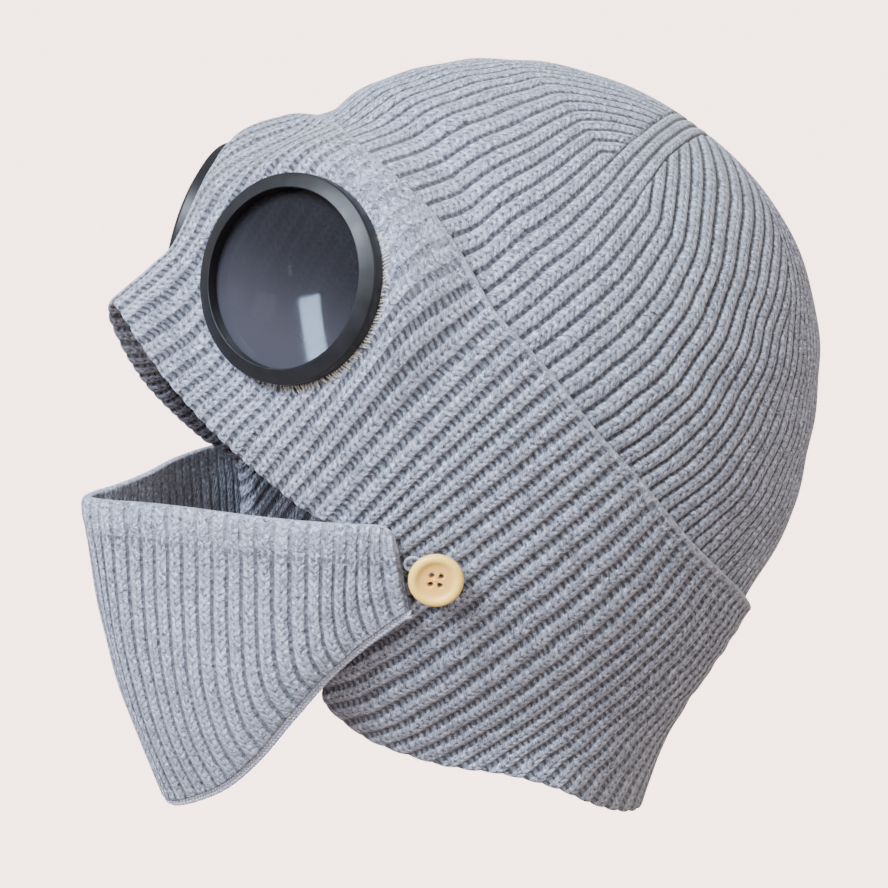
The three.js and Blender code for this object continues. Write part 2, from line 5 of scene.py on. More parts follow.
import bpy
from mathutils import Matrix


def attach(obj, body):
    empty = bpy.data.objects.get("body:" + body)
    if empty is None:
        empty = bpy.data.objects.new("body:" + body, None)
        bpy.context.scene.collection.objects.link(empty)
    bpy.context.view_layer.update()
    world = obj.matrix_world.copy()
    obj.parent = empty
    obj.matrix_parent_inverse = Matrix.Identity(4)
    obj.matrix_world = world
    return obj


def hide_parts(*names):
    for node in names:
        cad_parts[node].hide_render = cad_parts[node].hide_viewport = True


bl_info = {
    "name": "Knitted aviator hat",
    "version": (1, 0, 0),
    "blender": (4, 5, 0),
    "location": "3D View > Sidebar > Hat",
    "description": "Knits a ribbed aviator hat with goggles, buttons and a face panel",
    "category": "Object",
}

import math

import bmesh
import bpy
import numpy as np
from bpy.props import FloatProperty, FloatVectorProperty, IntProperty, PointerProperty
from mathutils import Matrix, Quaternion, Vector

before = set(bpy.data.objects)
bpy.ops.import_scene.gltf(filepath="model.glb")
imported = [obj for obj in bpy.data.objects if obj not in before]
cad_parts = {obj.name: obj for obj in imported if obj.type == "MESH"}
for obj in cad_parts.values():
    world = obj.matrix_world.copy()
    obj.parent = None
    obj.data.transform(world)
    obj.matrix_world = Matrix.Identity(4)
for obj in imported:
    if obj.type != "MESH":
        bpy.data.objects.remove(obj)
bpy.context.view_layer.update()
MM = 0.001


class Table:
    """Rows of numbers under named columns, read smoothly by the first and mirrored at both ends."""

    def __init__(self, columns, rows):
        data = np.array(rows, float)
        before, after = data[1].copy(), data[-2].copy()
        before[0] = 2 * data[0, 0] - before[0]
        after[0] = 2 * data[-1, 0] - after[0]
        self.columns = columns.split()
        self.data = np.vstack([before, data, after])

    def read(self, column, at):
        x, y = self.data[:, 0], self.data[:, self.columns.index(column)]
        i = np.clip(np.searchsorted(x, at, side="right") - 1, 1, len(x) - 3)
        width = x[i + 1] - x[i]
        s = np.clip((at - x[i]) / width, 0, 1)
        start = (y[i + 1] - y[i - 1]) / (x[i + 1] - x[i - 1]) * width
        end = (y[i + 2] - y[i]) / (x[i + 2] - x[i]) * width
        s2, s3 = s * s, s**3
        value = (2 * s3 - 3 * s2 + 1) * y[i] + (s3 - 2 * s2 + s) * start
        return value + (3 * s2 - 2 * s3) * y[i + 1] + (s3 - s2) * end


# The rounded form of the worn hat, measured from the middle of the head.
HALF_WIDTH, HALF_LENGTH, RISE, DROP = 86, 116.8, 103, 152.7
CROWN_PUFF = 1.6
KNIT_WALL, LAYER_GAP, GAP = 3, 0.6, 0.3
CROWN_INSET = KNIT_WALL + LAYER_GAP
DOUBLE_WALL = CROWN_INSET + KNIT_WALL
CENTRE = np.array([0, 0, KNIT_WALL - RISE - CROWN_PUFF])
BAND_TILT, CROWN_TILT = 48.9, 44.5
SEAT_FALL = 12
DECREASE_FALL = 48
CUFF_RIB_PITCH = 7.1

# Sections of the cuff from the brow, turn 0, to the nape, turn 180. A rib starts at turn on the
# upper edge, sways by mid_lean on its way down and ends low_lean on. Falls are angles from the
# cuff's axis, and flare is how far the lower edge stands out.
CUFF = Table(
    "turn top mid_lean low_lean low flare",
    [
        (0, 84, 0, 0, 126, 0.17),
        (20, 83.5, 0.1, -1, 134, 0.1),
        (40, 84, 0.2, -3.5, 140.5, 0.03),
        (60, 90.2, -0.9, -2, 142.5, 0.01),
        (72, 90.6, -0.3, 2, 141, 0.01),
        (84, 91, -1, -1, 144.5, 0.01),
        (97, 91.6, -1.3, -1, 151.5, 0.015),
        (111, 91, -1, 15.5, 158.2, 0.02),
        (121, 90.9, 0, 20, 153.4, 0.02),
        (132, 90.5, 1.8, 14.4, 144, 0.03),
        (144, 89, 1.2, 4, 132.6, 0.07),
        (156, 87.5, 0.6, -2, 123.5, 0.12),
        (180, 86, 0, 0, 111.3, 0.144),
    ],
)
LEAN_BEND, FLARE_BEND = 4, 4
CROWN_WEDGES = (16, 18, 18)
SPINE_RIBS = 1.5

# How far the crown's ribs stray from great circles, in ribs: by rib number at the cuff's edge, and
# by the way out from the pole.
CROWN_EDGE = Table(
    "rib edge sway",
    [(0, 0, 0), (6, -0.2, 0.7), (9, 0.4, 1), (14, 0.6, 1), (20, 0.75, 1), (28, 1.3, 1), (36, 1.2, 0.9), (52, 0, 0)],
)
CROWN_SWAY = Table(
    "out sway",
    [(0, 0), (0.18, 0), (0.3, 0.22), (0.4, 0.4), (0.5, 0.68), (0.58, 0.9), (0.66, 0.98), (0.75, 0.85),
     (0.85, 0.52), (0.94, 0.22), (1, 0)],
)

# The goggles.
GOGGLE_TURN, GOGGLE_FALL, GOGGLE_YAW, GOGGLE_PITCH, GOGGLE_PRESS = 27.5, 111, 37, 13, 3.5
GOGGLE_RADIUS, GOGGLE_WALL, GOGGLE_HEIGHT, GOGGLE_BEVEL = 34.2, 5, 6.9, 2.2
GOGGLE_FLAT, GOGGLE_BLEND, GOGGLE_SINK = 3, 19, 0.35
LENS_DEPTH, LENS_RIM, LENS_DOME = 5, 1.5, 1.4
BRUSHED_SPOT, BRUSHED_REACH = (64, -58, -35), (14, 38)
STITCH_SIDE = -42
# How far, in metres, the lenses' painted reflection blends from the lighter lower part to the darker upper part.
LENS_REFLECTION_BLEND = 0.024

# The buttons.
BUTTON_TURN, BUTTON_FALL, BUTTON_TIP = 97.4, 133.4, 6
BUTTON_RADIUS, BUTTON_THICKNESS = 9, 3.4
BUTTON_LIFT = GAP + KNIT_WALL + GAP
SHANK_RADIUS, LOOP_YARN, LOOP_SHARE, LOOP_INSET = 1.4, 0.7, 0.35, 2.4

# The face panel, from its middle, along 0, to an end, along 1, and from its upper edge, down 0, to
# its lower edge, down 1. It is as wide as the buttons' place, and starts ahead of them and above.
PANEL_REACH, PANEL_TOP, PANEL_HEIGHT = 98.3, 16.5, 109
HEM_HEIGHT, BINDING_RADIUS, PANEL_GAP = 9.5, 1.6, 0.5
HEM_CORNER, CORNER_SHARE = 0.075, 0.85
PANEL = Table(
    "along wide ahead low_wide low_ahead drop bend rib",
    [
        (0, 1.2, 1.002, 0.7, 0.73, 1, 1.55, 0),
        (0.1, 1.15, 0.946, 0.769, 0.708, 1, 2.2, 2.5),
        (0.19, 1.05, 0.863, 0.879, 0.654, 0.975, 3, 4.5),
        (0.33, 1.015, 0.756, 0.964, 0.576, 0.911, 4.3, 7.4),
        (0.5, 1.02, 0.64, 0.998, 0.494, 0.794, 6, 10.4),
        (0.66, 1.01, 0.527, 0.991, 0.397, 0.642, 7.5, 13.3),
        (0.83, 1.01, 0.361, 0.967, 0.27, 0.469, 8, 17),
        (1, 1, 0.161, 0.985, 0.096, 0.29, 0.9, 23),
    ],
)
FLAP_BULGE, FLAP_BLEND = 0.025, 2.2

# Where the picture was taken from.
CAMERA_TARGET = Vector((0, -0.0168, -0.1287))
CAMERA_AZIMUTH, CAMERA_ELEVATION, CAMERA_DISTANCE = 70, 12, 1.15
CAMERA_LENS = 135.2


class HatSizes(bpy.types.PropertyGroup):
    """Sizes of the knitting and of the fittings."""

    stitch: FloatProperty(
        name="Stitch", description="Length of one stitch along a rib", default=0.00235, unit="LENGTH"
    )
    cuff_rib: FloatProperty(
        name="Cuff rib", description="Depth of the grooves of the cuff", default=0.0012, unit="LENGTH"
    )
    crown_rib: FloatProperty(
        name="Crown rib", description="Depth of the grooves of the crown", default=0.001, unit="LENGTH"
    )
    panel_rib: FloatProperty(
        name="Panel rib", description="Depth of the grooves of the face panel", default=0.0009, unit="LENGTH"
    )
    stitch_relief: FloatProperty(
        name="Stitch relief", description="How far the stitches stand out", default=0.00045, unit="LENGTH"
    )
    waver: FloatProperty(
        name="Waver", description="How far the ribs stray from their line", default=0.00025, unit="LENGTH"
    )
    goggle_stitches: IntProperty(
        name="Goggle stitches", description="Threads that hold each goggle", default=190, min=12
    )
    thread: FloatProperty(
        name="Thread", description="Thickness of the sewing thread", default=0.00042, unit="LENGTH"
    )
    floor_drop: FloatProperty(
        name="Floor drop", description="Height of the origin above the floor", default=1.2, unit="LENGTH"
    )


def colour(name, description, rgb):
    return FloatVectorProperty(
        name=name, description=description, default=rgb, subtype="COLOR", size=3, min=0, max=1
    )


class HatColours(bpy.types.PropertyGroup):
    """Colours of the yarns, the fittings and the room."""

    wool: colour("Wool", "Main colour of the heather yarn", (0.21, 0.221, 0.274))
    wool_light: colour("Light fibres", "Pale fibres in the yarn", (0.6, 0.63, 0.78))
    wool_dark: colour("Dark fibres", "Dark fibres in the yarn", (0.018, 0.02, 0.026))
    thread: colour("Thread", "Sewing thread of the goggles", (0.56, 0.53, 0.42))
    rim: colour("Rim", "Moulded rim of the goggles", (0.009, 0.009, 0.0105))
    lens: colour("Lens", "Smoke tint of the lenses", (0.012, 0.0118, 0.015))
    wood: colour("Wood", "Pale wood of the buttons", (0.9, 0.58, 0.115))
    dish: colour("Dish", "Wood in the dish of the buttons", (0.82, 0.45, 0.1))
    grain: colour("Grain", "Darker grain of the wood", (0.78, 0.45, 0.12))
    floor: colour("Floor", "Pale floor", (0.95, 0.735, 0.658))
    light: colour("Room light", "Light that fills the room", (1.0, 0.915, 0.82))


def smoothstep(x, low, high):
    t = np.clip((x - low) / (high - low), 0, 1)
    return t * t * (3 - 2 * t)


def vectors(x, y, z):
    return np.stack(np.broadcast_arrays(x, y, z), axis=-1).astype(float)


def length(v):
    return np.linalg.norm(v, axis=-1)


def unit(v):
    return v / np.linalg.norm(v, axis=-1, keepdims=True)


def ripple(seed, turns, down, reach=3):
    """A soft unevenness, about -1 to 1, that closes on itself once round."""
    rng = np.random.default_rng(seed)
    total = 0
    for _ in range(6):
        about, along, phase = rng.integers(1, reach + 1), rng.uniform(-reach, reach), rng.uniform(0, 1)
        total = total + np.sin(2 * np.pi * (about * turns + along * down + phase))
    return total / 3.5


def heading(tilt, turn, fall):
    """The direction at a turn and a fall about an axis that leans back by tilt."""
    lean, t, f = np.radians(tilt), np.radians(turn), np.radians(fall)
    across = np.sin(t) * np.sin(f)
    ahead = np.cos(t) * np.sin(f)
    y = np.sin(lean) * np.cos(f) - np.cos(lean) * ahead
    z = np.cos(lean) * np.cos(f) + np.sin(lean) * ahead
    return vectors(across, y, z)


def form_radius(d):
    height = np.where(d[..., 2] > 0, RISE, DROP)
    return 1 / np.sqrt(
        (d[..., 0] / HALF_WIDTH) ** 2 + (d[..., 1] / HALF_LENGTH) ** 2 + (d[..., 2] / height) ** 2
    )


def form_normal(d):
    height = np.where(d[..., 2] > 0, RISE, DROP)
    return unit(vectors(d[..., 0] / HALF_WIDTH**2, d[..., 1] / HALF_LENGTH**2, d[..., 2] / height**2))


def goggle_seat(side):
    """The place of a goggle's base plane and the way that it faces."""
    d = heading(BAND_TILT, side * GOGGLE_TURN, GOGGLE_FALL)
    yaw, pitch = math.radians(GOGGLE_YAW), math.radians(GOGGLE_PITCH)
    facing = np.array(
        [side * math.sin(yaw) * math.cos(pitch), -math.cos(yaw) * math.cos(pitch), math.sin(pitch)]
    )
    return d * form_radius(d) + CENTRE - GOGGLE_PRESS * facing, facing


GOGGLE_SEATS = {side: goggle_seat(side) for side in (1, -1)}


def goggle_hold(point):
    """How much of the knit at a point is pressed flat, for each goggle in turn."""
    holds = []
    for place, facing in GOGGLE_SEATS.values():
        offset = point - place
        depth = offset @ facing
        away = length(offset - depth[..., None] * facing)
        flat = GOGGLE_RADIUS + GOGGLE_FLAT
        hold = 1 - smoothstep(away, flat, flat + GOGGLE_BLEND)
        holds.append((hold * (depth > -HALF_LENGTH / 2), depth, facing))
    return holds


def knit_point(d, stretch, inset):
    """A point of the knit, inset from its outer side and pressed flat behind each goggle."""
    point = d * (form_radius(d) * stretch - inset)[..., None] + CENTRE
    for hold, depth, facing in goggle_hold(point):
        point = point + ((-GOGGLE_SINK - inset - depth) * hold)[..., None] * facing
    return point


def girth_table():
    steps = 720
    turns = np.linspace(0, 360, steps + 1)
    d = heading(BAND_TILT, turns, CUFF.data[1, 1] + SEAT_FALL)
    spots = d * form_radius(d)[..., None]
    run = np.concatenate([[0], np.cumsum(length(np.diff(spots, axis=0)))])
    return run, turns


GIRTH_RUN, GIRTH_TURNS = girth_table()
GIRTH = GIRTH_RUN[-1]


def turn_at(share):
    return np.interp(np.mod(share, 1) * GIRTH, GIRTH_RUN, GIRTH_TURNS)


def mirrored(turn):
    return np.where(turn > 180, 360 - turn, turn)


def cuff_point(turn, down, inset):
    """The cuff's rib that starts at a turn, at a share of the way down."""
    start = mirrored(turn)
    side = np.where(turn > 180, -1, 1)
    lean = CUFF.read("mid_lean", start) * 4 * down * (1 - down)
    lean = lean + CUFF.read("low_lean", start) * np.abs(down) ** LEAN_BEND
    top, low = CUFF.read("top", start), CUFF.read("low", start)
    d = heading(BAND_TILT, side * (start + lean), top + (low - top) * down)
    return knit_point(d, 1 + CUFF.read("flare", start) * np.clip(down, 0, 2) ** FLARE_BEND, inset)


def cuff_span(turn):
    start = mirrored(turn)
    return CUFF.read("low", start) - CUFF.read("top", start)


def crown_point(share, out, inset):
    """A crown point part of the way from the pole, 0, to the cuff's upper edge, 1."""
    pole = heading(CROWN_TILT, 0, 0)
    turn = turn_at(share)
    edge = heading(BAND_TILT, turn, CUFF.read("top", mirrored(turn)))
    whole = np.arccos(np.clip(edge @ pole, -1, 1))
    side = unit(edge - np.cos(whole)[..., None] * pole)
    d = pole * np.cos(whole * out)[..., None] + side * np.sin(whole * out)[..., None]
    puff = CROWN_PUFF * np.sin(np.pi * np.clip(out, 0, 1))
    return knit_point(d, np.ones_like(out), CROWN_INSET * smoothstep(out, 0.82, 1) - puff + inset)


def button_seat(side):
    d = heading(BAND_TILT, side * BUTTON_TURN, BUTTON_FALL)
    place = d * form_radius(d) + CENTRE
    normal = form_normal(d)
    return place, normal, unit(normal + np.array([0, 0, math.sin(math.radians(BUTTON_TIP))]))


BUTTON_SPOT = button_seat(1)[0] - CENTRE


def panel_spot(along, down):
    """The face panel's outer surface, from the right end, along -1, to the left end, 1."""
    at = np.abs(along)
    bent = np.clip(down, 0, 1) ** PANEL.read("bend", at)
    wide = PANEL.read("wide", at) * (1 - bent) + PANEL.read("low_wide", at) * bent
    ahead = PANEL.read("ahead", at) * (1 - bent) + PANEL.read("low_ahead", at) * bent
    wide = at * BUTTON_SPOT[0] * wide
    y = BUTTON_SPOT[1] - PANEL_REACH * ahead
    z = BUTTON_SPOT[2] + PANEL_TOP - PANEL_HEIGHT * PANEL.read("drop", at) * down

    def clear(half):
        return half * (1 + FLAP_BULGE) + KNIT_WALL + GAP

    level = 1 - (z / clear(DROP)) ** 2 - (y / clear(HALF_LENGTH)) ** 2
    flap = clear(HALF_WIDTH) * np.sign(level) * np.sqrt(np.abs(level))
    pushed = (wide + flap + np.hypot(wide - flap, FLAP_BLEND)) / 2
    return vectors(np.sign(along) * pushed, y, z) + CENTRE


def panel_point(along, down, inset):
    """A point of the panel that lies inset from its outer side."""
    nudge = 0.01
    across = panel_spot(np.minimum(along + nudge, 1), down) - panel_spot(np.maximum(along - nudge, -1), down)
    fall = panel_spot(along, down + nudge) - panel_spot(along, down - nudge)
    normal = unit(np.cross(fall, across))
    return panel_spot(along, down) - normal * np.asarray(inset)[..., None]


def panel_share(along, height):
    return height / (PANEL_HEIGHT * PANEL.read("drop", np.abs(along)))


def panel_along(rib):
    """Where a rib lies, counted from the middle, from -1 to 1."""
    at = np.linspace(0, 1, 201)
    return np.sign(rib) * np.interp(np.abs(rib), PANEL.read("rib", at), at)


def collection():
    return bpy.context.scene.collection


def keep(mesh, name, material, slot, *nodes):
    """Puts a finished mesh in the scene as a piece that stands for CAD nodes."""
    piece = bpy.data.objects.new(name, mesh)
    collection().objects.link(piece)
    mesh.materials.clear()
    mesh.materials.append(material)
    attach(piece, "root")
    if nodes:
        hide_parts(*nodes)
    return piece


def knitted_mesh(name, points, stitches):
    """A closed skin through rows of points. The first and last columns and rows may coincide."""
    rows, columns = points.shape[:2]
    sheet = bmesh.new()
    sheet.loops.layers.uv.new("Stitches")
    bmesh.ops.create_grid(sheet, x_segments=columns - 1, y_segments=rows - 1, size=1)
    mesh = bpy.data.meshes.new(name)
    sheet.to_mesh(mesh)
    sheet.free()
    grid = np.empty(len(mesh.vertices) * 3)
    mesh.vertices.foreach_get("co", grid)
    grid = grid.reshape(-1, 3)
    i = np.rint((grid[:, 0] + 1) / 2 * (columns - 1)).astype(int)
    j = np.rint((grid[:, 1] + 1) / 2 * (rows - 1)).astype(int)
    mesh.vertices.foreach_set("co", (points[j, i] * MM).ravel())
    corner = np.empty(len(mesh.loops), int)
    mesh.loops.foreach_get("vertex_index", corner)
    mesh.uv_layers["Stitches"].data.foreach_set("uv", stitches[j, i][corner].ravel())
    skin = bmesh.new()
    skin.from_mesh(mesh)
    bmesh.ops.remove_doubles(skin, verts=skin.verts, dist=2e-6)
    bmesh.ops.dissolve_degenerate(skin, edges=skin.edges, dist=1e-6)
    bmesh.ops.recalc_face_normals(skin, faces=skin.faces)
    for face in skin.faces:
        face.smooth = True
    skin.to_mesh(mesh)
    skin.free()
    return mesh


def rib_depth(u, sharpness):
    """0 on top of a rib and 1 at the bottom of a groove. Grooves lie at whole numbers."""
    return 1 - np.abs(np.sin(np.pi * u)) ** sharpness


def stitch_map(u, points, stitch):
    """Rib numbers and stitch counts, which run on from the first row of points."""
    steps = length(np.diff(points, axis=0))
    run = np.vstack([np.zeros(points.shape[1]), np.cumsum(steps, axis=0)])
    return np.stack([np.broadcast_to(u, run.shape), run / stitch], axis=-1)


def cuff_mesh(sizes):
    ribs = 2 * round(GIRTH / CUFF_RIB_PITCH / 2)
    per_rib, outer, inner = 8, 66, 20
    u = np.arange(ribs * per_rib + 1) / per_rib
    share = u / ribs
    turn = turn_at(share)
    turn = turn + np.degrees(sizes.waver / MM / 95) * ripple(3, share, 0.0, 9)
    span = length(cuff_point(turn, np.zeros_like(turn), np.zeros_like(turn))
                  - cuff_point(turn, np.full_like(turn, 0.5), np.zeros_like(turn))) * 2.05
    step = SEAT_FALL / cuff_span(turn)
    down, inset, relief = [], [], []

    def row(at, depth, ribbing, rise=0.0):
        down.append(np.broadcast_to(at, turn.shape) - rise / span)
        inset.append(np.broadcast_to(depth, turn.shape))
        relief.append(ribbing)

    roll = np.linspace(0, math.pi, 7)
    for angle in roll:
        row(0, KNIT_WALL / 2 - 0.2 + (KNIT_WALL / 2 + 0.2) * math.cos(angle), 0, 1.3 * math.sin(angle))
    for k in range(1, outer):
        at = k / outer
        row(at, 0, smoothstep(at, 0.012, 0.06), 0)
    half = DOUBLE_WALL / 2
    for angle in np.linspace(0, math.pi, 9):
        row(1, half - half * math.cos(angle), 0.5, -0.7 * half * math.sin(angle))
    for k in range(1, inner):
        row(1 - (1 - step) * k / inner, DOUBLE_WALL, 0.5)
    row(step, DOUBLE_WALL, 0)
    row(step, KNIT_WALL, 0)
    row(step / 2, KNIT_WALL, 0)
    row(0, KNIT_WALL, 0)
    down, inset = np.array(down), np.array(inset)
    relief = np.array(relief, float)[:, None]
    turn = np.broadcast_to(turn, down.shape)
    smooth = cuff_point(turn, down, inset)
    hold = sum(h for h, _, _ in goggle_hold(smooth))
    uneven = 0.35 * ripple(5, share[None], down * 1.3, 7)
    depth = sizes.cuff_rib / MM * rib_depth(u, 0.75)[None] * relief * (1 - 0.75 * hold)
    depth = depth * (1 + 0.25 * ripple(8, share[None], down * 2, 12))
    under = smoothstep(inset, half * 0.5, half) * smoothstep(DOUBLE_WALL - inset, 0.1, half * 0.5)
    outward = np.where(inset > half, -1, 1) * (1 - under)
    points = cuff_point(turn, down - depth * under * 1.2 / span, inset + depth * outward - uneven * (1 - hold))
    seam = points.shape[1] - 1
    points[:, seam] = points[:, 0]
    points[-1] = points[0]
    uv = stitch_map(u[None], smooth, sizes.stitch / MM)
    return knitted_mesh("cuff_knit", points, uv)


def crown_columns(per_rib):
    """Rib numbers round the crown and, for each, its wedge's middle and half count."""
    ribs = 2 * sum(CROWN_WEDGES)
    front, side, back = CROWN_WEDGES
    wedges = [(-front, 2 * front), (front, side), (front + side, back), (ribs // 2, back),
              (ribs // 2 + back, side), (ribs - front, 2 * front)]
    u = np.arange(ribs * per_rib + 1) / per_rib
    middle, reach = np.zeros_like(u), np.zeros_like(u)
    for start, count in wedges:
        inside = (u >= start) & (u <= start + count)
        middle[inside], reach[inside] = start + count / 2, count / 2
    return ribs, u, middle, reach


def crown_sway(rib, out):
    """How many ribs a place on the crown lies on from its great circle."""
    whole = 2 * sum(CROWN_WEDGES)
    at = np.minimum(rib, whole - rib)
    sway = CROWN_EDGE.read("edge", at) + CROWN_EDGE.read("sway", at) * CROWN_SWAY.read("sway", out)
    return np.where(rib > whole / 2, -sway, sway)


def crown_mesh(sizes):
    per_rib, outer, inner = 6, 100, 14
    ribs, u, middle, reach = crown_columns(per_rib)
    clearance = math.degrees(GAP / HALF_WIDTH)
    foot = SEAT_FALL - 2 * clearance

    rows = [("inner", out) for out in np.linspace(0, 1, inner)]
    rows += [("foot", DOUBLE_WALL), ("foot", CROWN_INSET), ("seat", 0.6), ("seat", 0.25)]
    rows += [("outer", out) for out in 1 - np.linspace(0, 1, outer) ** 0.93]
    points, smooth, grooves = [], [], []
    for kind, value in rows:
        out = value if kind in ("inner", "outer") else 1.0
        narrow = min(1.0, math.sin(math.radians(90 * out)) / math.sin(math.radians(DECREASE_FALL)))
        room = np.maximum(reach * narrow, 1e-9)
        fat = np.minimum(1 - 0.22 * smoothstep(1 - narrow, 0, 0.3), room / SPINE_RIBS * 0.999)
        a = u - middle
        limit = room - SPINE_RIBS * fat
        spine = np.abs(a) >= reach - SPINE_RIBS - 1e-9
        placed = np.where(spine, room - (reach - np.abs(a)) * fat, np.minimum(np.abs(a), limit))
        ended = ~spine & (np.abs(a) > limit)
        share = (middle + np.sign(a) * placed / room * reach) / ribs
        groove = np.where(ended, 1, rib_depth(u + 0.5, 0.42)) * np.minimum(1, fat * 1.2)
        ones = np.ones_like(share)
        sway = sizes.waver / MM / GIRTH * ripple(11, u / ribs, out, 7) * smoothstep(out, 0.15, 0.5)
        share = share + sway + crown_sway(share * ribs, out) / ribs
        if kind == "outer":
            uneven = 0.4 * ripple(13, u / ribs, out * 1.5, 6) * smoothstep(out, 0.1, 0.4)
            deep = sizes.crown_rib / MM * groove * (1 + 0.2 * ripple(17, u / ribs, out * 3, 12))
            smooth.append(crown_point(share, ones * out, 0 * ones))
            points.append(crown_point(share, ones * out, deep - uneven))
        elif kind == "inner":
            smooth.append(crown_point(share, ones * out, KNIT_WALL * ones))
            points.append(crown_point(share, ones * out, KNIT_WALL - 0.6 * groove))
        else:
            turn = turn_at(share)
            fall = foot if kind == "foot" else foot * value
            inset = value if kind == "foot" else CROWN_INSET
            at = cuff_point(turn, fall / cuff_span(turn), inset * ones)
            smooth.append(at)
            points.append(at)
        grooves.append(np.where(ended, middle + np.sign(a) * limit, u) + 0.5)
    points, smooth = np.array(points), np.array(smooth)
    points[:, -1] = points[:, 0]
    points[0], points[-1] = points[0, 0], points[-1, 0]
    uv = stitch_map(np.array(grooves), smooth, sizes.stitch / MM)
    return knitted_mesh("crown_knit", points, uv)


def panel_mesh(name, sizes, start, end, ribbing, per_rib, front, bulge):
    """A knitted wall that follows the panel between two heights, with rounded edges."""
    half_count = int(PANEL.data[-2, PANEL.columns.index("rib")])
    u = np.arange(2 * half_count * per_rib + 1) / per_rib
    along = panel_along(u - half_count)
    edge = np.clip((np.abs(along) - 1 + 0.022) / 0.022, 0, 1)
    half = KNIT_WALL / 2 * np.sqrt(1 - edge**2)
    high, low = start(along), end(along)
    tall = length(panel_spot(along, high) - panel_spot(along, low))
    rows = []
    for angle in np.linspace(0, math.pi / 2, 4)[:-1]:
        rows.append((0, -math.cos(angle), -math.sin(angle), 0))
    rows = [(0, 1 - math.sin(a), math.cos(a), 0) for a in np.linspace(-math.pi / 2, math.pi / 2, 7)]
    rows += [(k / front, 0, 0, 1) for k in range(1, front)]
    rows += [(1, 1 - math.cos(a), -math.sin(a), 0) for a in np.linspace(0, math.pi, 7)]
    rows += [(1 - k / 16, 2, 0, -0.4) for k in range(1, 16)]
    rows.append(rows[0])
    points, smooth = [], []
    for at, deep, rise, relief in rows:
        down = high + (low - high) * at - rise * half * 0.55 / tall * (low - high)
        inset = KNIT_WALL / 2 + (deep - 1) * half
        fade = ribbing(at * tall) * relief
        relieved = inset + sizes.panel_rib / MM * rib_depth(u, 0.6) * fade
        uneven = 0.25 * ripple(23, (along + 1) / 2, down, 5)
        puff = bulge(at) * (deep < 1)
        smooth.append(panel_point(along, down, inset))
        points.append(panel_point(along, down, relieved - puff - uneven))
    points, smooth = np.array(points), np.array(smooth)
    points[-1] = points[0]
    uv = stitch_map(u[None], smooth, sizes.stitch * 1.12 / MM)
    return knitted_mesh(name, points, uv)


def turn_to(place, facing):
    """A matrix that sets a part made round Z on a base plane, in metres."""
    z = Vector(facing).normalized()
    x = Vector((0, 0, 1)).cross(z).normalized()
    y = z.cross(x)
    turned = Matrix((x, y, z)).transposed().to_4x4()
    return Matrix.Translation(Vector(place) * MM) @ turned


def turned_mesh(name, profile, sides):
    """A body turned round Z from radius and height pairs, in millimetres."""
    body = bmesh.new()
    ring = [body.verts.new((r * MM, 0, h * MM)) for r, h in profile]
    edges = [body.edges.new((a, b)) for a, b in zip(ring, ring[1:])]
    bmesh.ops.spin(
        body, geom=ring + edges, cent=(0, 0, 0), axis=(0, 0, 1), dvec=(0, 0, 0),
        angle=2 * math.pi, steps=sides, use_merge=True, use_duplicate=False,
    )
    bmesh.ops.remove_doubles(body, verts=body.verts, dist=1e-6)
    bmesh.ops.recalc_face_normals(body, faces=body.faces)
    mesh = bpy.data.meshes.new(name)
    for face in body.faces:
        face.smooth = True
    body.to_mesh(mesh)
    body.free()
    return mesh


def rounded(points, radius, steps=4):
    """A closed profile with its corners rounded, as radius and height pairs."""
    out = []
    count = len(points)
    for i, corner in enumerate(points):
        before = Vector(points[i - 1]) - Vector(corner)
        after = Vector(points[(i + 1) % count]) - Vector(corner)
        cut = min(radius, before.length * 0.45, after.length * 0.45)
        a = Vector(corner) + before.normalized() * cut
        b = Vector(corner) + after.normalized() * cut
        for k in range(steps + 1):
            t = k / steps
            out.append(tuple((1 - t) ** 2 * a + 2 * t * (1 - t) * Vector(corner) + t * t * b))
    return out + out[:1]


def yarn_mesh(name, routes, radius, closed, sides=2):
    """Round yarn along routes of points in millimetres, as one mesh."""
    curve = bpy.data.curves.new(name, "CURVE")
    curve.dimensions = "3D"
    curve.bevel_depth = radius * MM
    curve.bevel_resolution = sides
    curve.use_fill_caps = not closed
    for route in routes:
        spline = curve.splines.new("POLY")
        spline.points.add(len(route) - 1)
        spline.use_cyclic_u = closed
        spline.use_smooth = True
        for point, place in zip(spline.points, route):
            point.co = (*(np.asarray(place) * MM), 1)
    holder = bpy.data.objects.new(name, curve)
    collection().objects.link(holder)
    bpy.context.view_layer.update()
    evaluated = holder.evaluated_get(bpy.context.evaluated_depsgraph_get())
    mesh = bpy.data.meshes.new_from_object(evaluated)
    mesh.name = name
    bpy.data.objects.remove(holder)
    bpy.data.curves.remove(curve)
    return mesh


def braid_routes(line, across, over, width, height, pitch, strands=3):
    """Strands that weave along a line, as in a crocheted edge."""
    run = np.concatenate([[0], np.cumsum(length(np.diff(line, axis=0)))])
    fine = np.arange(0, run[-1], pitch / 10)

    def along(values):
        return np.stack([np.interp(fine, run, values[:, k]) for k in range(3)], axis=-1)

    line, across, over = along(line), unit(along(across)), unit(along(over))
    routes = []
    for k in range(strands):
        angle = 2 * np.pi * (fine / pitch + k / strands)
        routes.append(
            line + across * (width * np.sin(angle))[:, None] + over * (height * np.sin(2 * angle))[:, None]
        )
    return routes


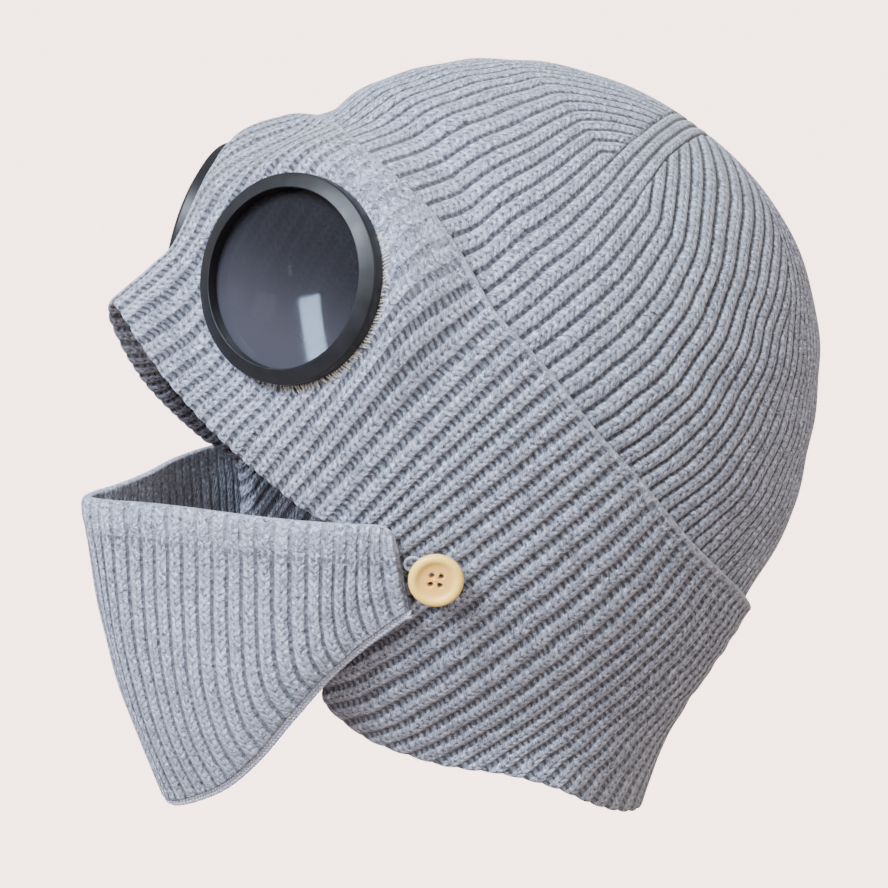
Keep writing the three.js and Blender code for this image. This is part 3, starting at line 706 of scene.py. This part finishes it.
class Graph:
    """Adds shader nodes to a tree and joins them."""

    def __init__(self, tree):
        self.tree = tree

    def add(self, kind, **settings):
        node = self.tree.nodes.new(kind)
        for key, value in settings.items():
            setattr(node, key, value)
        return node

    def feed(self, socket, value):
        if isinstance(value, bpy.types.NodeSocket):
            self.tree.links.new(value, socket)
        else:
            socket.default_value = value

    def math(self, operation, *values):
        node = self.add("ShaderNodeMath", operation=operation)
        for socket, value in zip(node.inputs, values):
            self.feed(socket, value)
        return node.outputs[0]

    def ramp(self, value, low, high, start=0.0, end=1.0):
        node = self.add("ShaderNodeMapRange", interpolation_type="SMOOTHSTEP", clamp=True)
        for name, number in (("Value", value), ("From Min", low), ("From Max", high), ("To Min", start), ("To Max", end)):
            self.feed(node.inputs[name], number)
        return node.outputs[0]

    def noise(self, vector, scale, detail=2.0, roughness=0.5):
        node = self.add("ShaderNodeTexNoise")
        self.feed(node.inputs["Vector"], vector)
        for name, number in (("Scale", scale), ("Detail", detail), ("Roughness", roughness)):
            node.inputs[name].default_value = number
        return node.outputs["Fac"]

    def blend(self, factor, a, b):
        node = self.add("ShaderNodeMix", data_type="RGBA")
        for socket, value in ((node.inputs["Factor"], factor), (node.inputs[6], a), (node.inputs[7], b)):
            self.feed(socket, value)
        return node.outputs[2]

    def stretch(self, vector, scale):
        node = self.add("ShaderNodeMapping")
        self.feed(node.inputs["Vector"], vector)
        node.inputs["Scale"].default_value = scale
        return node.outputs[0]


def group(name, inputs, outputs):
    """A shader node group with its sockets, as its graph, its inputs and the node for its outputs."""
    tree = bpy.data.node_groups.new(name, "ShaderNodeTree")
    for label, kind, value in inputs:
        socket = tree.interface.new_socket(name=label, in_out="INPUT", socket_type=kind)
        if value is not None:
            socket.default_value = value
    for label in outputs:
        tree.interface.new_socket(name=label, in_out="OUTPUT", socket_type="NodeSocketFloat")
    graph = Graph(tree)
    return graph, graph.add("NodeGroupInput").outputs, graph.add("NodeGroupOutput").inputs


def rib_stitches():
    """V stitches up a rib, with the bars of the purl stitches down in its grooves. Its Shade output is painted shade:
    dark grooves, dark gaps between the stitch legs and dark dots in each rib's middle crease, less of it on the purl
    bars and faded by Wear, with the seam's dark dashes laid over it.
    """
    name = "Rib stitches"
    if name in bpy.data.node_groups:
        return bpy.data.node_groups[name]
    graph, given, result = group(
        name,
        [("Stitches", "NodeSocketVector", None), ("Groove", "NodeSocketFloat", 0.3), ("Edge", "NodeSocketFloat", 0.0),
         ("Bars", "NodeSocketFloat", 0.5), ("Wear", "NodeSocketFloat", 0.0), ("Seam", "NodeSocketFloat", 0.0)],
        ["Height", "Shade", "Fleck", "Fibre"],
    )
    place = graph.add("ShaderNodeSeparateXYZ")
    graph.feed(place.inputs[0], given["Stitches"])
    u, v = place.outputs[0], place.outputs[1]
    kept = graph.math("SUBTRACT", 1.0, given["Wear"])
    inside = graph.ramp(v, graph.math("MULTIPLY", given["Edge"], 0.6), graph.math("ADD", given["Edge"], 0.01))
    dash = graph.math("ABSOLUTE", graph.math("SINE", graph.math("MULTIPLY", u, 2.5 * math.pi)))
    off = graph.math("ABSOLUTE", graph.math("SUBTRACT", v, 2.1))
    seam = graph.math("MULTIPLY", graph.ramp(off, 0.2, 0.55, 1.0, 0.0), graph.ramp(dash, 0.25, 0.75))
    seam = graph.math("MULTIPLY", seam, given["Seam"])
    shift = graph.noise(graph.stretch(given["Stitches"], (0.31, 0.12, 1)), 1.0, 2.0)
    v = graph.math("ADD", v, graph.math("MULTIPLY", shift, 3.0))
    wobble = graph.noise(graph.stretch(given["Stitches"], (1.3, 0.9, 1)), 1.0, 1.0)
    u = graph.math("ADD", u, graph.math("MULTIPLY_ADD", wobble, 0.16, -0.08))
    across = graph.math("FRACT", u)
    a = graph.math("ABSOLUTE", graph.math("MULTIPLY_ADD", across, 2.0, -1.0))
    leg = graph.math("MULTIPLY_ADD", a, 0.75, v)
    band = graph.math("POWER", graph.math("SINE", graph.math("MULTIPLY", graph.math("FRACT", leg), math.pi)), 0.7)
    edge = graph.math("SUBTRACT", 1.0, given["Groove"])
    groove = graph.ramp(a, graph.math("SUBTRACT", edge, 0.1), graph.math("ADD", edge, 0.12))
    crease = graph.ramp(a, 0.03, 0.24, 1.0, 0.0)
    bar = graph.math("POWER", graph.math("ABSOLUTE", graph.math("SINE", graph.math("MULTIPLY", v, math.pi))), 1.6)
    gap = graph.math("SUBTRACT", 1.0, band)
    rib = graph.math("SUBTRACT", 1.0, groove)
    rise = graph.math("MULTIPLY_ADD", band, 0.6, 0.4)
    rise = graph.math("MULTIPLY", rise, graph.math("MULTIPLY_ADD", crease, -0.35, 1.0))
    height = graph.math("MULTIPLY_ADD", graph.math("MULTIPLY", groove, bar), 0.25, graph.math("MULTIPLY", rib, rise))
    # Painted shade: the grooves are darkened, less on their purl bars, and so are the gaps between the stitch legs and
    # the dots in the rib's middle crease.
    dark = graph.math("MULTIPLY", groove, graph.math("MULTIPLY_ADD", bar, graph.math("MULTIPLY", given["Bars"], -1.0), 0.95))
    dark = graph.math("MULTIPLY_ADD", graph.math("MULTIPLY", rib, gap), 0.22, dark)
    dot = graph.math("MULTIPLY", graph.math("MULTIPLY", crease, rib), graph.math("POWER", gap, 0.6))
    dark = graph.math("MULTIPLY", graph.math("MULTIPLY_ADD", dot, 0.75, dark), inside)
    graph.feed(result["Height"], graph.math("MULTIPLY", height, inside))
    # Wear fades the painted shade where the knit is worn flat.
    dark = graph.math("MULTIPLY", graph.math("MINIMUM", dark, 1.0), kept)
    dark = graph.math("MAXIMUM", dark, seam)
    graph.feed(result["Shade"], graph.math("SUBTRACT", 1.0, dark))
    cell = graph.add("ShaderNodeCombineXYZ")
    graph.feed(cell.inputs[0], graph.math("FLOOR", graph.math("MULTIPLY", u, 2.0)))
    graph.feed(cell.inputs[1], graph.math("FLOOR", leg))
    chance = graph.add("ShaderNodeTexWhiteNoise")
    graph.feed(chance.inputs["Vector"], cell.outputs[0])
    fleck = graph.math("MULTIPLY", graph.ramp(chance.outputs["Value"], 0.45, 0.95), band)
    graph.feed(result["Fleck"], graph.math("MULTIPLY", fleck, rib))
    strand = graph.add("ShaderNodeCombineXYZ")
    graph.feed(strand.inputs[0], graph.math("MULTIPLY", u, 4.0))
    graph.feed(strand.inputs[1], graph.math("MULTIPLY", leg, 7.0))
    graph.feed(result["Fibre"], graph.noise(strand.outputs[0], 1.0, 3.0, 0.65))
    return graph.tree


def heather():
    """Pale and dark fibres and the cloudy tone of a mixed yarn."""
    name = "Heather yarn"
    if name in bpy.data.node_groups:
        return bpy.data.node_groups[name]
    graph, given, result = group(
        name, [("Place", "NodeSocketVector", None)], ["Light", "Dark", "Cloud", "Fuzz"]
    )
    place = given["Place"]
    light = graph.noise(place, 760.0, 2.0, 0.6)
    dark = graph.noise(graph.stretch(place, (1.0, 1.0, 1.3)), 620.0, 2.0, 0.6)
    graph.feed(result["Light"], graph.ramp(light, 0.53, 0.66))
    graph.feed(result["Dark"], graph.ramp(dark, 0.47, 0.34))
    graph.feed(result["Cloud"], graph.ramp(graph.noise(place, 95.0, 2.0), 0.3, 0.7))
    graph.feed(result["Fuzz"], graph.noise(place, 2600.0, 3.0, 0.7))
    return graph.tree


def new_material(name):
    material = bpy.data.materials.new(name)
    material.use_nodes = True
    graph = Graph(material.node_tree)
    return material, graph, material.node_tree.nodes["Principled BSDF"]


def rgba(value):
    return (*value, 1.0)


def round_patch(graph, spot, near, far, strength=1.0):
    """A soft patch round a spot, in millimetres, and round its mirror image."""
    split = graph.add("ShaderNodeSeparateXYZ")
    graph.feed(split.inputs[0], graph.add("ShaderNodeTexCoord").outputs["Object"])
    folded = graph.add("ShaderNodeCombineXYZ")
    graph.feed(folded.inputs[0], graph.math("ABSOLUTE", split.outputs[0]))
    graph.feed(folded.inputs[1], split.outputs[1])
    graph.feed(folded.inputs[2], split.outputs[2])
    away = graph.add("ShaderNodeVectorMath", operation="DISTANCE")
    graph.feed(away.inputs[0], folded.outputs[0])
    away.inputs[1].default_value = [c * MM for c in spot]
    return graph.ramp(away.outputs["Value"], near * MM, far * MM, strength, 0.0)


def knit_material(name, sizes, colours, groove, edge=0.0, tone=1.0, bars=0.5, wear=0.0, seam=0.0, brushed=False):
    """Heather knitting whose stitches follow the piece's own Stitches map, with painted shade in its grooves, between
    its stitch legs and in its rib creases.
    """
    material, graph, shader = new_material(name)
    stitch = graph.add("ShaderNodeGroup", node_tree=rib_stitches())
    graph.feed(stitch.inputs["Stitches"], graph.add("ShaderNodeUVMap", uv_map="Stitches").outputs[0])
    stitch.inputs["Groove"].default_value = groove
    stitch.inputs["Edge"].default_value = edge
    stitch.inputs["Bars"].default_value = bars
    stitch.inputs["Wear"].default_value = wear
    stitch.inputs["Seam"].default_value = seam
    if brushed:
        graph.feed(stitch.inputs["Wear"], round_patch(graph, BRUSHED_SPOT, *BRUSHED_REACH, 0.6))
    wool = graph.add("ShaderNodeGroup", node_tree=heather())
    graph.feed(wool.inputs["Place"], graph.add("ShaderNodeTexCoord").outputs["Object"])
    base = [min(1.0, c * tone) for c in colours.wool]
    pale = rgba([min(1.0, c * tone) for c in colours.wool_light])
    body = graph.blend(wool.outputs["Cloud"], rgba([c * 0.86 for c in base]), rgba([min(1.0, c * 1.12) for c in base]))
    body = graph.blend(graph.math("MULTIPLY", wool.outputs["Light"], 0.75), body, pale)
    body = graph.blend(graph.math("MULTIPLY", wool.outputs["Dark"], 0.75), body, rgba(colours.wool_dark))
    body = graph.blend(graph.ramp(stitch.outputs["Fibre"], 0.5, 0.68, 0.0, 0.6), body, pale)
    body = graph.blend(graph.ramp(stitch.outputs["Fibre"], 0.32, 0.46, 0.6, 0.0), body, rgba(colours.wool_dark))
    body = graph.blend(graph.math("MULTIPLY", stitch.outputs["Fleck"], 0.22), body, pale)
    # Painted shade: the stitches' Shade darkens the yarn towards 5% of its colour in the grooves, between the legs and
    # in the rib creases.
    shaded = graph.blend(stitch.outputs["Shade"], rgba([c * 0.05 for c in base]), body)
    graph.feed(shader.inputs["Base Color"], shaded)
    graph.feed(shader.inputs["Roughness"], graph.ramp(wool.outputs["Fuzz"], 0.2, 0.8, 0.82, 0.98))
    shader.inputs["Sheen Weight"].default_value = 0.25
    shader.inputs["Sheen Roughness"].default_value = 0.5
    shader.inputs["Specular IOR Level"].default_value = 0.2
    bump = graph.add("ShaderNodeBump")
    bump.inputs["Strength"].default_value = 1.0
    bump.inputs["Distance"].default_value = sizes.stitch_relief
    height = graph.math("MULTIPLY_ADD", wool.outputs["Fuzz"], 0.5, stitch.outputs["Height"])
    graph.feed(bump.inputs["Height"], height)
    graph.feed(shader.inputs["Normal"], bump.outputs[0])
    return material


def yarn_material(name, base, relief):
    """Plain spun yarn with a fine fibre."""
    material, graph, shader = new_material(name)
    wool = graph.add("ShaderNodeGroup", node_tree=heather())
    graph.feed(wool.inputs["Place"], graph.add("ShaderNodeTexCoord").outputs["Object"])
    body = graph.blend(wool.outputs["Dark"], rgba(base), rgba([c * 0.6 for c in base]))
    body = graph.blend(graph.math("MULTIPLY", wool.outputs["Light"], 0.5), body, rgba([min(1, c * 1.5) for c in base]))
    graph.feed(shader.inputs["Base Color"], body)
    graph.feed(shader.inputs["Roughness"], graph.ramp(wool.outputs["Fuzz"], 0.2, 0.8, 0.8, 0.97))
    shader.inputs["Sheen Weight"].default_value = 0.25
    bump = graph.add("ShaderNodeBump")
    bump.inputs["Distance"].default_value = relief
    graph.feed(bump.inputs["Height"], wool.outputs["Fuzz"])
    graph.feed(shader.inputs["Normal"], bump.outputs[0])
    return material


def rim_material(colours):
    """Satin moulded plastic with a faint grain."""
    material, graph, shader = new_material("Rim plastic")
    place = graph.add("ShaderNodeTexCoord").outputs["Object"]
    grain = graph.noise(place, 3500.0, 2.0)
    wear = graph.noise(place, 160.0, 3.0)
    shade = graph.ramp(wear, 0.3, 0.75, 0.0, 0.35)
    graph.feed(shader.inputs["Base Color"], graph.blend(shade, rgba(colours.rim), rgba([c * 1.6 for c in colours.rim])))
    graph.feed(shader.inputs["Roughness"], graph.ramp(wear, 0.25, 0.75, 0.34, 0.44))
    shader.inputs["Specular IOR Level"].default_value = 0.22
    bump = graph.add("ShaderNodeBump")
    bump.inputs["Strength"].default_value = 0.25
    bump.inputs["Distance"].default_value = 0.00005
    graph.feed(bump.inputs["Height"], grain)
    graph.feed(shader.inputs["Normal"], bump.outputs[0])
    return material


def lens_material(colours):
    """Smoke-tinted lens that lets a little of the knit show through, with a painted reflection that makes its lower
    part lighter and more opaque.
    """
    material, graph, shader = new_material("Smoke lens")
    place = graph.add("ShaderNodeTexCoord").outputs["Object"]
    haze = graph.noise(place, 60.0, 2.0)
    split = graph.add("ShaderNodeSeparateXYZ")
    graph.feed(split.inputs[0], place)
    low = graph.math("MULTIPLY_ADD", split.outputs[1], 0.6, split.outputs[2])
    low = graph.math("MULTIPLY_ADD", haze, 0.008, low)
    middle = (0.6 * GOGGLE_SEATS[1][0][1] + GOGGLE_SEATS[1][0][2]) * MM
    # Painted reflection: the lens turns lighter and more opaque towards its lower front part.
    tint = graph.ramp(low, middle - LENS_REFLECTION_BLEND, middle + LENS_REFLECTION_BLEND, 1.0, 0.0)
    graph.feed(shader.inputs["Base Color"], graph.blend(tint, rgba(colours.lens), rgba([c * 3.3 for c in colours.lens])))
    graph.feed(shader.inputs["Roughness"], graph.ramp(haze, 0.2, 0.8, 0.03, 0.07))
    graph.feed(shader.inputs["Alpha"], graph.math("MULTIPLY_ADD", tint, 0.26, 0.68))
    shader.inputs["Specular IOR Level"].default_value = 0.22
    return material


def wood_material(colours):
    """Pale turned wood under a thin polish."""
    material, graph, shader = new_material("Button wood")
    place = graph.add("ShaderNodeTexCoord").outputs["Object"]
    rings = graph.noise(graph.stretch(place, (1.0, 7.0, 1.4)), 210.0, 4.0, 0.6)
    place, normal, _ = button_seat(1)
    face = place + normal * (BUTTON_LIFT + GAP + BUTTON_THICKNESS)
    # The dish is coloured darker and more orange than the raised rim round it.
    dish = round_patch(graph, face, BUTTON_RADIUS - 3.7, BUTTON_RADIUS - 2.3)
    body = graph.blend(dish, rgba(colours.wood), rgba(colours.dish))
    body = graph.blend(graph.ramp(rings, 0.45, 0.75, 0.0, 0.4), body, rgba(colours.grain))
    graph.feed(shader.inputs["Base Color"], body)
    graph.feed(shader.inputs["Roughness"], graph.ramp(rings, 0.3, 0.7, 0.38, 0.52))
    shader.inputs["Coat Weight"].default_value = 0.15
    bump = graph.add("ShaderNodeBump")
    bump.inputs["Strength"].default_value = 0.3
    bump.inputs["Distance"].default_value = 0.00006
    graph.feed(bump.inputs["Height"], rings)
    graph.feed(shader.inputs["Normal"], bump.outputs[0])
    return material


class HAT_OT_crown(bpy.types.Operator):
    """Knit the crown, whose ribs end along the spines between its wedges"""

    bl_idname = "hat.crown"
    bl_label = "Crown"

    def execute(self, context):
        sizes, colours = context.scene.hat_sizes, context.scene.hat_colours
        material = knit_material("Crown knit", sizes, colours, groove=0.27, bars=0.2)
        keep(crown_mesh(sizes), "crown_knit", material, "knit", "crown")
        return {"FINISHED"}


class HAT_OT_cuff(bpy.types.Operator):
    """Knit the turned-up cuff with its peak, ear flaps and nape"""

    bl_idname = "hat.cuff"
    bl_label = "Cuff"

    def execute(self, context):
        sizes, colours = context.scene.hat_sizes, context.scene.hat_colours
        material = knit_material("Cuff knit", sizes, colours, groove=0.42, edge=2.6, brushed=True)
        keep(cuff_mesh(sizes), "cuff_knit", material, "knit", "cuff")
        return {"FINISHED"}


class HAT_OT_goggles(bpy.types.Operator):
    """Set the two goggles on the brow and sew them down"""

    bl_idname = "hat.goggles"
    bl_label = "Goggles"

    def execute(self, context):
        sizes, colours = context.scene.hat_sizes, context.scene.hat_colours
        rim, lens = rim_material(colours), lens_material(colours)
        thread = yarn_material("Goggle thread", colours.thread, 0.0001)
        inner = GOGGLE_RADIUS - GOGGLE_WALL
        ledge = GOGGLE_HEIGHT - LENS_DEPTH
        corners = [
            (inner, ledge + GAP),
            (inner, GOGGLE_HEIGHT),
            (GOGGLE_RADIUS, GOGGLE_HEIGHT - GOGGLE_BEVEL),
            (GOGGLE_RADIUS, 0),
            (inner + LENS_RIM, 0),
            (inner + LENS_RIM, ledge + GAP),
        ]
        for side, hand in ((1, "left"), (-1, "right")):
            place, facing = GOGGLE_SEATS[side]
            seat = turn_to(place, facing)
            ring = turned_mesh(f"goggle_rim_{hand}_moulded", rounded(corners, 0.55), 144)
            ring.transform(seat)
            keep(ring, f"goggle_rim_{hand}_moulded", rim, "rim", f"goggle_rim_{hand}")
            edge = inner + LENS_RIM - GAP
            dome = [(0, 0), (edge, 0), (edge, ledge - 0.1), (edge - 0.15, ledge), (inner - 0.2, ledge)]
            dome += [
                ((inner - 0.2) * math.cos(t), ledge + LENS_DOME * math.sin(t))
                for t in np.linspace(0, math.pi / 2, 14)[1:-1]
            ]
            reach = inner - 0.2
            dome = dome[:5] + [
                (reach * (1 - k / 14), ledge + LENS_DOME * (1 - (1 - k / 14) ** 2)) for k in range(1, 15)
            ]
            glass = turned_mesh(f"goggle_lens_{hand}_smoke", dome, 96)
            glass.transform(seat)
            keep(glass, f"goggle_lens_{hand}_smoke", lens, "lens", f"goggle_lens_{hand}")
            keep(self.stitches(sizes, seat, side), f"goggle_stitches_{hand}", thread, "yarn")
        return {"FINISHED"}

    def stitches(self, sizes, seat, side):
        """Short threads that reach from under the rim out into the knit."""
        rng = np.random.default_rng(31)
        routes = []
        turned = np.array(seat)
        for k in range(sizes.goggle_stitches):
            angle = 2 * np.pi * (k + rng.uniform(-0.2, 0.2)) / sizes.goggle_stitches
            reach = rng.uniform(1.7, 2.6)
            swing = rng.uniform(-0.02, 0.05)
            lower = max(0.0, math.cos(angle - math.radians(STITCH_SIDE if side > 0 else 180 - STITCH_SIDE)))
            proud = 1.05 * lower**1.8
            route = []
            for t in (0, 0.35, 0.7, 1):
                radius = GOGGLE_RADIUS - 0.6 + (0.6 + reach) * t
                height = proud * math.sin(math.pi * min(1, 0.25 + t * 0.75)) - 0.75
                at = np.array([radius * math.cos(angle + swing * t), radius * math.sin(angle + swing * t), height])
                route.append(turned[:3, :3] @ at + turned[:3, 3] / MM)
            routes.append(route)
        return yarn_mesh("goggle_stitches", routes, sizes.thread / MM / 2, False, 1)


class HAT_OT_buttons(bpy.types.Operator):
    """Turn the wooden buttons and lay a yarn loop round each shank"""

    bl_idname = "hat.buttons"
    bl_label = "Buttons"

    def execute(self, context):
        colours = context.scene.hat_colours
        wood = wood_material(colours)
        yarn = yarn_material("Loop yarn", [c * 1.35 for c in colours.wool], 0.00025)
        for side, hand in ((1, "left"), (-1, "right")):
            place, normal, facing = button_seat(side)
            button = self.button(hand)
            button.transform(turn_to(place + normal * (BUTTON_LIFT + GAP), facing))
            keep(button, f"button_{hand}_wood", wood, "button", f"button_{hand}")
            loop = yarn_mesh(f"button_loop_{hand}_yarn", [self.loop(side)], LOOP_YARN * 0.75, True, 3)
            keep(loop, f"button_loop_{hand}_yarn", yarn, "yarn", f"button_loop_{hand}")
            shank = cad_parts[f"button_shank_{hand}"]
            shank.data.materials.clear()
            shank.data.materials.append(yarn)
        return {"FINISHED"}

    def button(self, hand):
        """A dished button with a rounded raised edge and four holes."""
        r, t = BUTTON_RADIUS, BUTTON_THICKNESS
        profile = [
            (0, 0), (r - 2.2, 0), (r - 1.1, 0.25), (r - 0.35, 0.9), (r, 1.7), (r - 0.12, 2.45),
            (r - 0.55, 3.05), (r - 1.15, t - 0.06), (r - 1.8, t), (r - 2.35, t - 0.15), (r - 2.8, t - 0.5),
            (r - 3.3, t - 0.88), (r - 4.1, t - 1.1), (r - 5.5, t - 1.2), (0, t - 1.2),
        ]
        mesh = turned_mesh(f"button_{hand}_wood", profile, 72)
        body = bpy.data.objects.new("button_blank", mesh)
        collection().objects.link(body)
        drill = bmesh.new()
        for k in range(4):
            angle = math.radians(45 + 90 * k - 8)
            at = Matrix.Translation((2.15 * MM * math.cos(angle), 2.15 * MM * math.sin(angle), 0))
            bmesh.ops.create_cone(
                drill, cap_ends=True, segments=24, radius1=0.00078, radius2=0.00098, depth=0.0082, matrix=at
            )
        bit = bpy.data.meshes.new("button_drill")
        drill.to_mesh(bit)
        drill.free()
        cutter = bpy.data.objects.new("button_drill", bit)
        collection().objects.link(cutter)
        cut = body.modifiers.new("Holes", "BOOLEAN")
        cut.operation = "DIFFERENCE"
        cut.solver = "EXACT"
        cut.object = cutter
        bpy.context.view_layer.update()
        drilled = bpy.data.meshes.new_from_object(body.evaluated_get(bpy.context.evaluated_depsgraph_get()))
        drilled.name = f"button_{hand}_wood"
        bpy.data.objects.remove(body)
        bpy.data.objects.remove(cutter)
        return drilled

    def loop(self, side):
        place, normal, _ = button_seat(side)
        hub = place + normal * (2 * GAP + LOOP_YARN)
        end = panel_point(np.array(float(side)), np.array(LOOP_SHARE), np.array(LOOP_INSET))
        bend = SHANK_RADIUS + GAP + LOOP_YARN
        along = end - hub
        reach = length(along) - 4 * GAP - LOOP_YARN - bend
        along = unit(along)
        up = unit(normal - along * (normal @ along))
        across = np.cross(up, along)
        route = []
        for k in range(48):
            angle = 2 * math.pi * (k + 0.5) / 48
            shift = reach if math.cos(angle) > 0 else 0
            route.append(hub + along * (shift + bend * math.cos(angle)) + across * bend * math.sin(angle))
        return route


class HAT_OT_face_panel(bpy.types.Operator):
    """Knit the face panel with its hem and crochet its lower edge"""

    bl_idname = "hat.face_panel"
    bl_label = "Face panel"

    def execute(self, context):
        sizes, colours = context.scene.hat_sizes, context.scene.hat_colours
        knit = knit_material("Panel knit", sizes, colours, groove=0.28, tone=1.03, bars=0.25, wear=0.2, seam=0.6)
        hem_knit = knit_material("Hem knit", sizes, colours, groove=0.3, edge=1.2, tone=1.1, bars=0.2, wear=0.6)
        edge = yarn_material("Edge yarn", [min(1, c * 1.5) for c in colours.wool], 0.00025)

        def foot(along):
            return panel_share(along, HEM_HEIGHT)

        def brow(along):
            near = np.clip((np.abs(along) - 1) / HEM_CORNER + 1, 0, 1)
            return foot(along) * CORNER_SHARE * (1 - np.sqrt(1 - near**2))

        panel = panel_mesh(
            "mask_panel_knit", sizes, lambda along: foot(along) + panel_share(along, PANEL_GAP * 0.6),
            lambda along: 1 - panel_share(along, 2 * BINDING_RADIUS), lambda mm: smoothstep(mm, 3.4, 5.2),
            10, 74, lambda at: 0.35 * math.sin(math.pi * at) ** 2,
        )
        keep(panel, "mask_panel_knit", knit, "knit", "mask_panel")
        hem = panel_mesh(
            "mask_hem_knit", sizes, brow, foot,
            lambda mm: smoothstep(mm, 2.2, 3.2) * 0.4, 10, 14, lambda at: 0.7 * math.sin(math.pi * at) ** 0.6,
        )
        keep(hem, "mask_hem_knit", hem_knit, "knit", "mask_hem")
        along = np.linspace(-1, 1, 400)
        down = 1 - panel_share(along, BINDING_RADIUS)
        middle = panel_point(along, down, np.full(400, KNIT_WALL / 2))
        over = panel_point(along, down, np.zeros(400)) - middle
        run = np.gradient(middle, axis=0)
        across = np.cross(unit(run), unit(over))
        routes = braid_routes(middle, across, over, 1.05, 0.6, 4.2)
        keep(yarn_mesh("mask_binding_yarn", routes, 0.72, False, 2), "mask_binding_yarn", edge, "yarn", "mask_binding")
        return {"FINISHED"}


class HAT_OT_stage(bpy.types.Operator):
    """Lay the pale floor, hang the soft lights and set the camera"""

    bl_idname = "hat.stage"
    bl_label = "Stage"

    def execute(self, context):
        sizes, colours = context.scene.hat_sizes, context.scene.hat_colours
        floor = bmesh.new()
        bmesh.ops.create_grid(floor, x_segments=1, y_segments=1, size=30)
        bmesh.ops.translate(floor, verts=floor.verts, vec=(0, 0, -sizes.floor_drop))
        mesh = bpy.data.meshes.new("floor")
        floor.to_mesh(mesh)
        floor.free()
        material, graph, shader = new_material("Pale floor")
        place = graph.add("ShaderNodeTexCoord").outputs["Object"]
        tone = graph.noise(place, 2.0, 2.0)
        pale = rgba(colours.floor)
        dim = [rgba([c * share for c in colours.floor]) for share in (0.42, 0.4)]
        graph.feed(shader.inputs["Base Color"], graph.blend(tone, *dim))
        graph.feed(shader.inputs["Roughness"], graph.ramp(tone, 0.2, 0.8, 0.85, 0.95))
        seen = graph.add("ShaderNodeLightPath").outputs["Is Camera Ray"]
        graph.feed(shader.inputs["Emission Color"], graph.blend(seen, (0, 0, 0, 1), pale))
        shader.inputs["Emission Strength"].default_value = 5.2
        mesh.materials.append(material)
        ground = bpy.data.objects.new("floor", mesh)
        collection().objects.link(ground)

        world = bpy.data.worlds.new("Room")
        world.use_nodes = True
        world.node_tree.nodes["Background"].inputs[0].default_value = rgba(colours.light)
        world.node_tree.nodes["Background"].inputs[1].default_value = 0.66
        context.scene.world = world
        self.lamp("Key", (1.0, -1.75, 1.6), 1.1, 1.1, 248, (0.76, 0.865, 1.0))
        self.lamp("Side", (2.2, -0.7, 1.3), 1.0, 1.0, 40, (0.95, 0.96, 1.0))
        self.lamp("Back", (1.3, 1.9, 0.7), 1.2, 1.2, 18, (1.0, 0.91, 0.8))
        self.lamp("Strip", (0.253, -1.8, 0.135), 0.105, 0.27, 4.9, (0.52, 0.71, 1.0), 22)
        self.camera(context)
        return {"FINISHED"}

    def lamp(self, name, place, width, height, power, tint, roll=0.0):
        light = bpy.data.lights.new(name, "AREA")
        light.shape = "RECTANGLE"
        light.size, light.size_y = width, height
        light.energy = power
        light.color = tint
        lamp = bpy.data.objects.new(name, light)
        lamp.location = place
        aim = (CAMERA_TARGET - Vector(place)).to_track_quat("-Z", "Y")
        lamp.rotation_euler = (aim @ Quaternion((0, 0, 1), math.radians(roll))).to_euler()
        collection().objects.link(lamp)

    def camera(self, context):
        azimuth, elevation = math.radians(CAMERA_AZIMUTH), math.radians(CAMERA_ELEVATION)
        back = Vector(
            (
                math.sin(azimuth) * math.cos(elevation),
                -math.cos(azimuth) * math.cos(elevation),
                math.sin(elevation),
            )
        )
        data = bpy.data.cameras.new("Camera")
        data.lens = CAMERA_LENS
        data.sensor_width = 36
        data.sensor_fit = "HORIZONTAL"
        camera = bpy.data.objects.new("Camera", data)
        camera.location = CAMERA_TARGET + back * CAMERA_DISTANCE
        camera.rotation_euler = back.to_track_quat("Z", "Y").to_euler()
        collection().objects.link(camera)
        context.scene.camera = camera


class HAT_PT_panel(bpy.types.Panel):
    """Sizes, colours and steps of the hat"""

    bl_label = "Aviator hat"
    bl_idname = "HAT_PT_panel"
    bl_space_type = "VIEW_3D"
    bl_region_type = "UI"
    bl_category = "Hat"

    def draw(self, context):
        for settings in (context.scene.hat_sizes, context.scene.hat_colours):
            box = self.layout.box()
            for name in settings.bl_rna.properties.keys():
                if name not in ("rna_type", "name"):
                    box.prop(settings, name)
        for step in STEPS:
            self.layout.operator(step.bl_idname)


STEPS = (HAT_OT_stage, HAT_OT_crown, HAT_OT_cuff, HAT_OT_goggles, HAT_OT_buttons, HAT_OT_face_panel)
CLASSES = (HatSizes, HatColours, *STEPS, HAT_PT_panel)


def register():
    for cls in CLASSES:
        bpy.utils.register_class(cls)
    bpy.types.Scene.hat_sizes = PointerProperty(type=HatSizes)
    bpy.types.Scene.hat_colours = PointerProperty(type=HatColours)


def unregister():
    del bpy.types.Scene.hat_colours
    del bpy.types.Scene.hat_sizes
    for cls in reversed(CLASSES):
        bpy.utils.unregister_class(cls)


def main():
    register()
    bpy.ops.hat.stage()
    bpy.ops.hat.crown()
    bpy.ops.hat.cuff()
    bpy.ops.hat.goggles()
    bpy.ops.hat.buttons()
    bpy.ops.hat.face_panel()


if __name__ == "__main__":
    main()
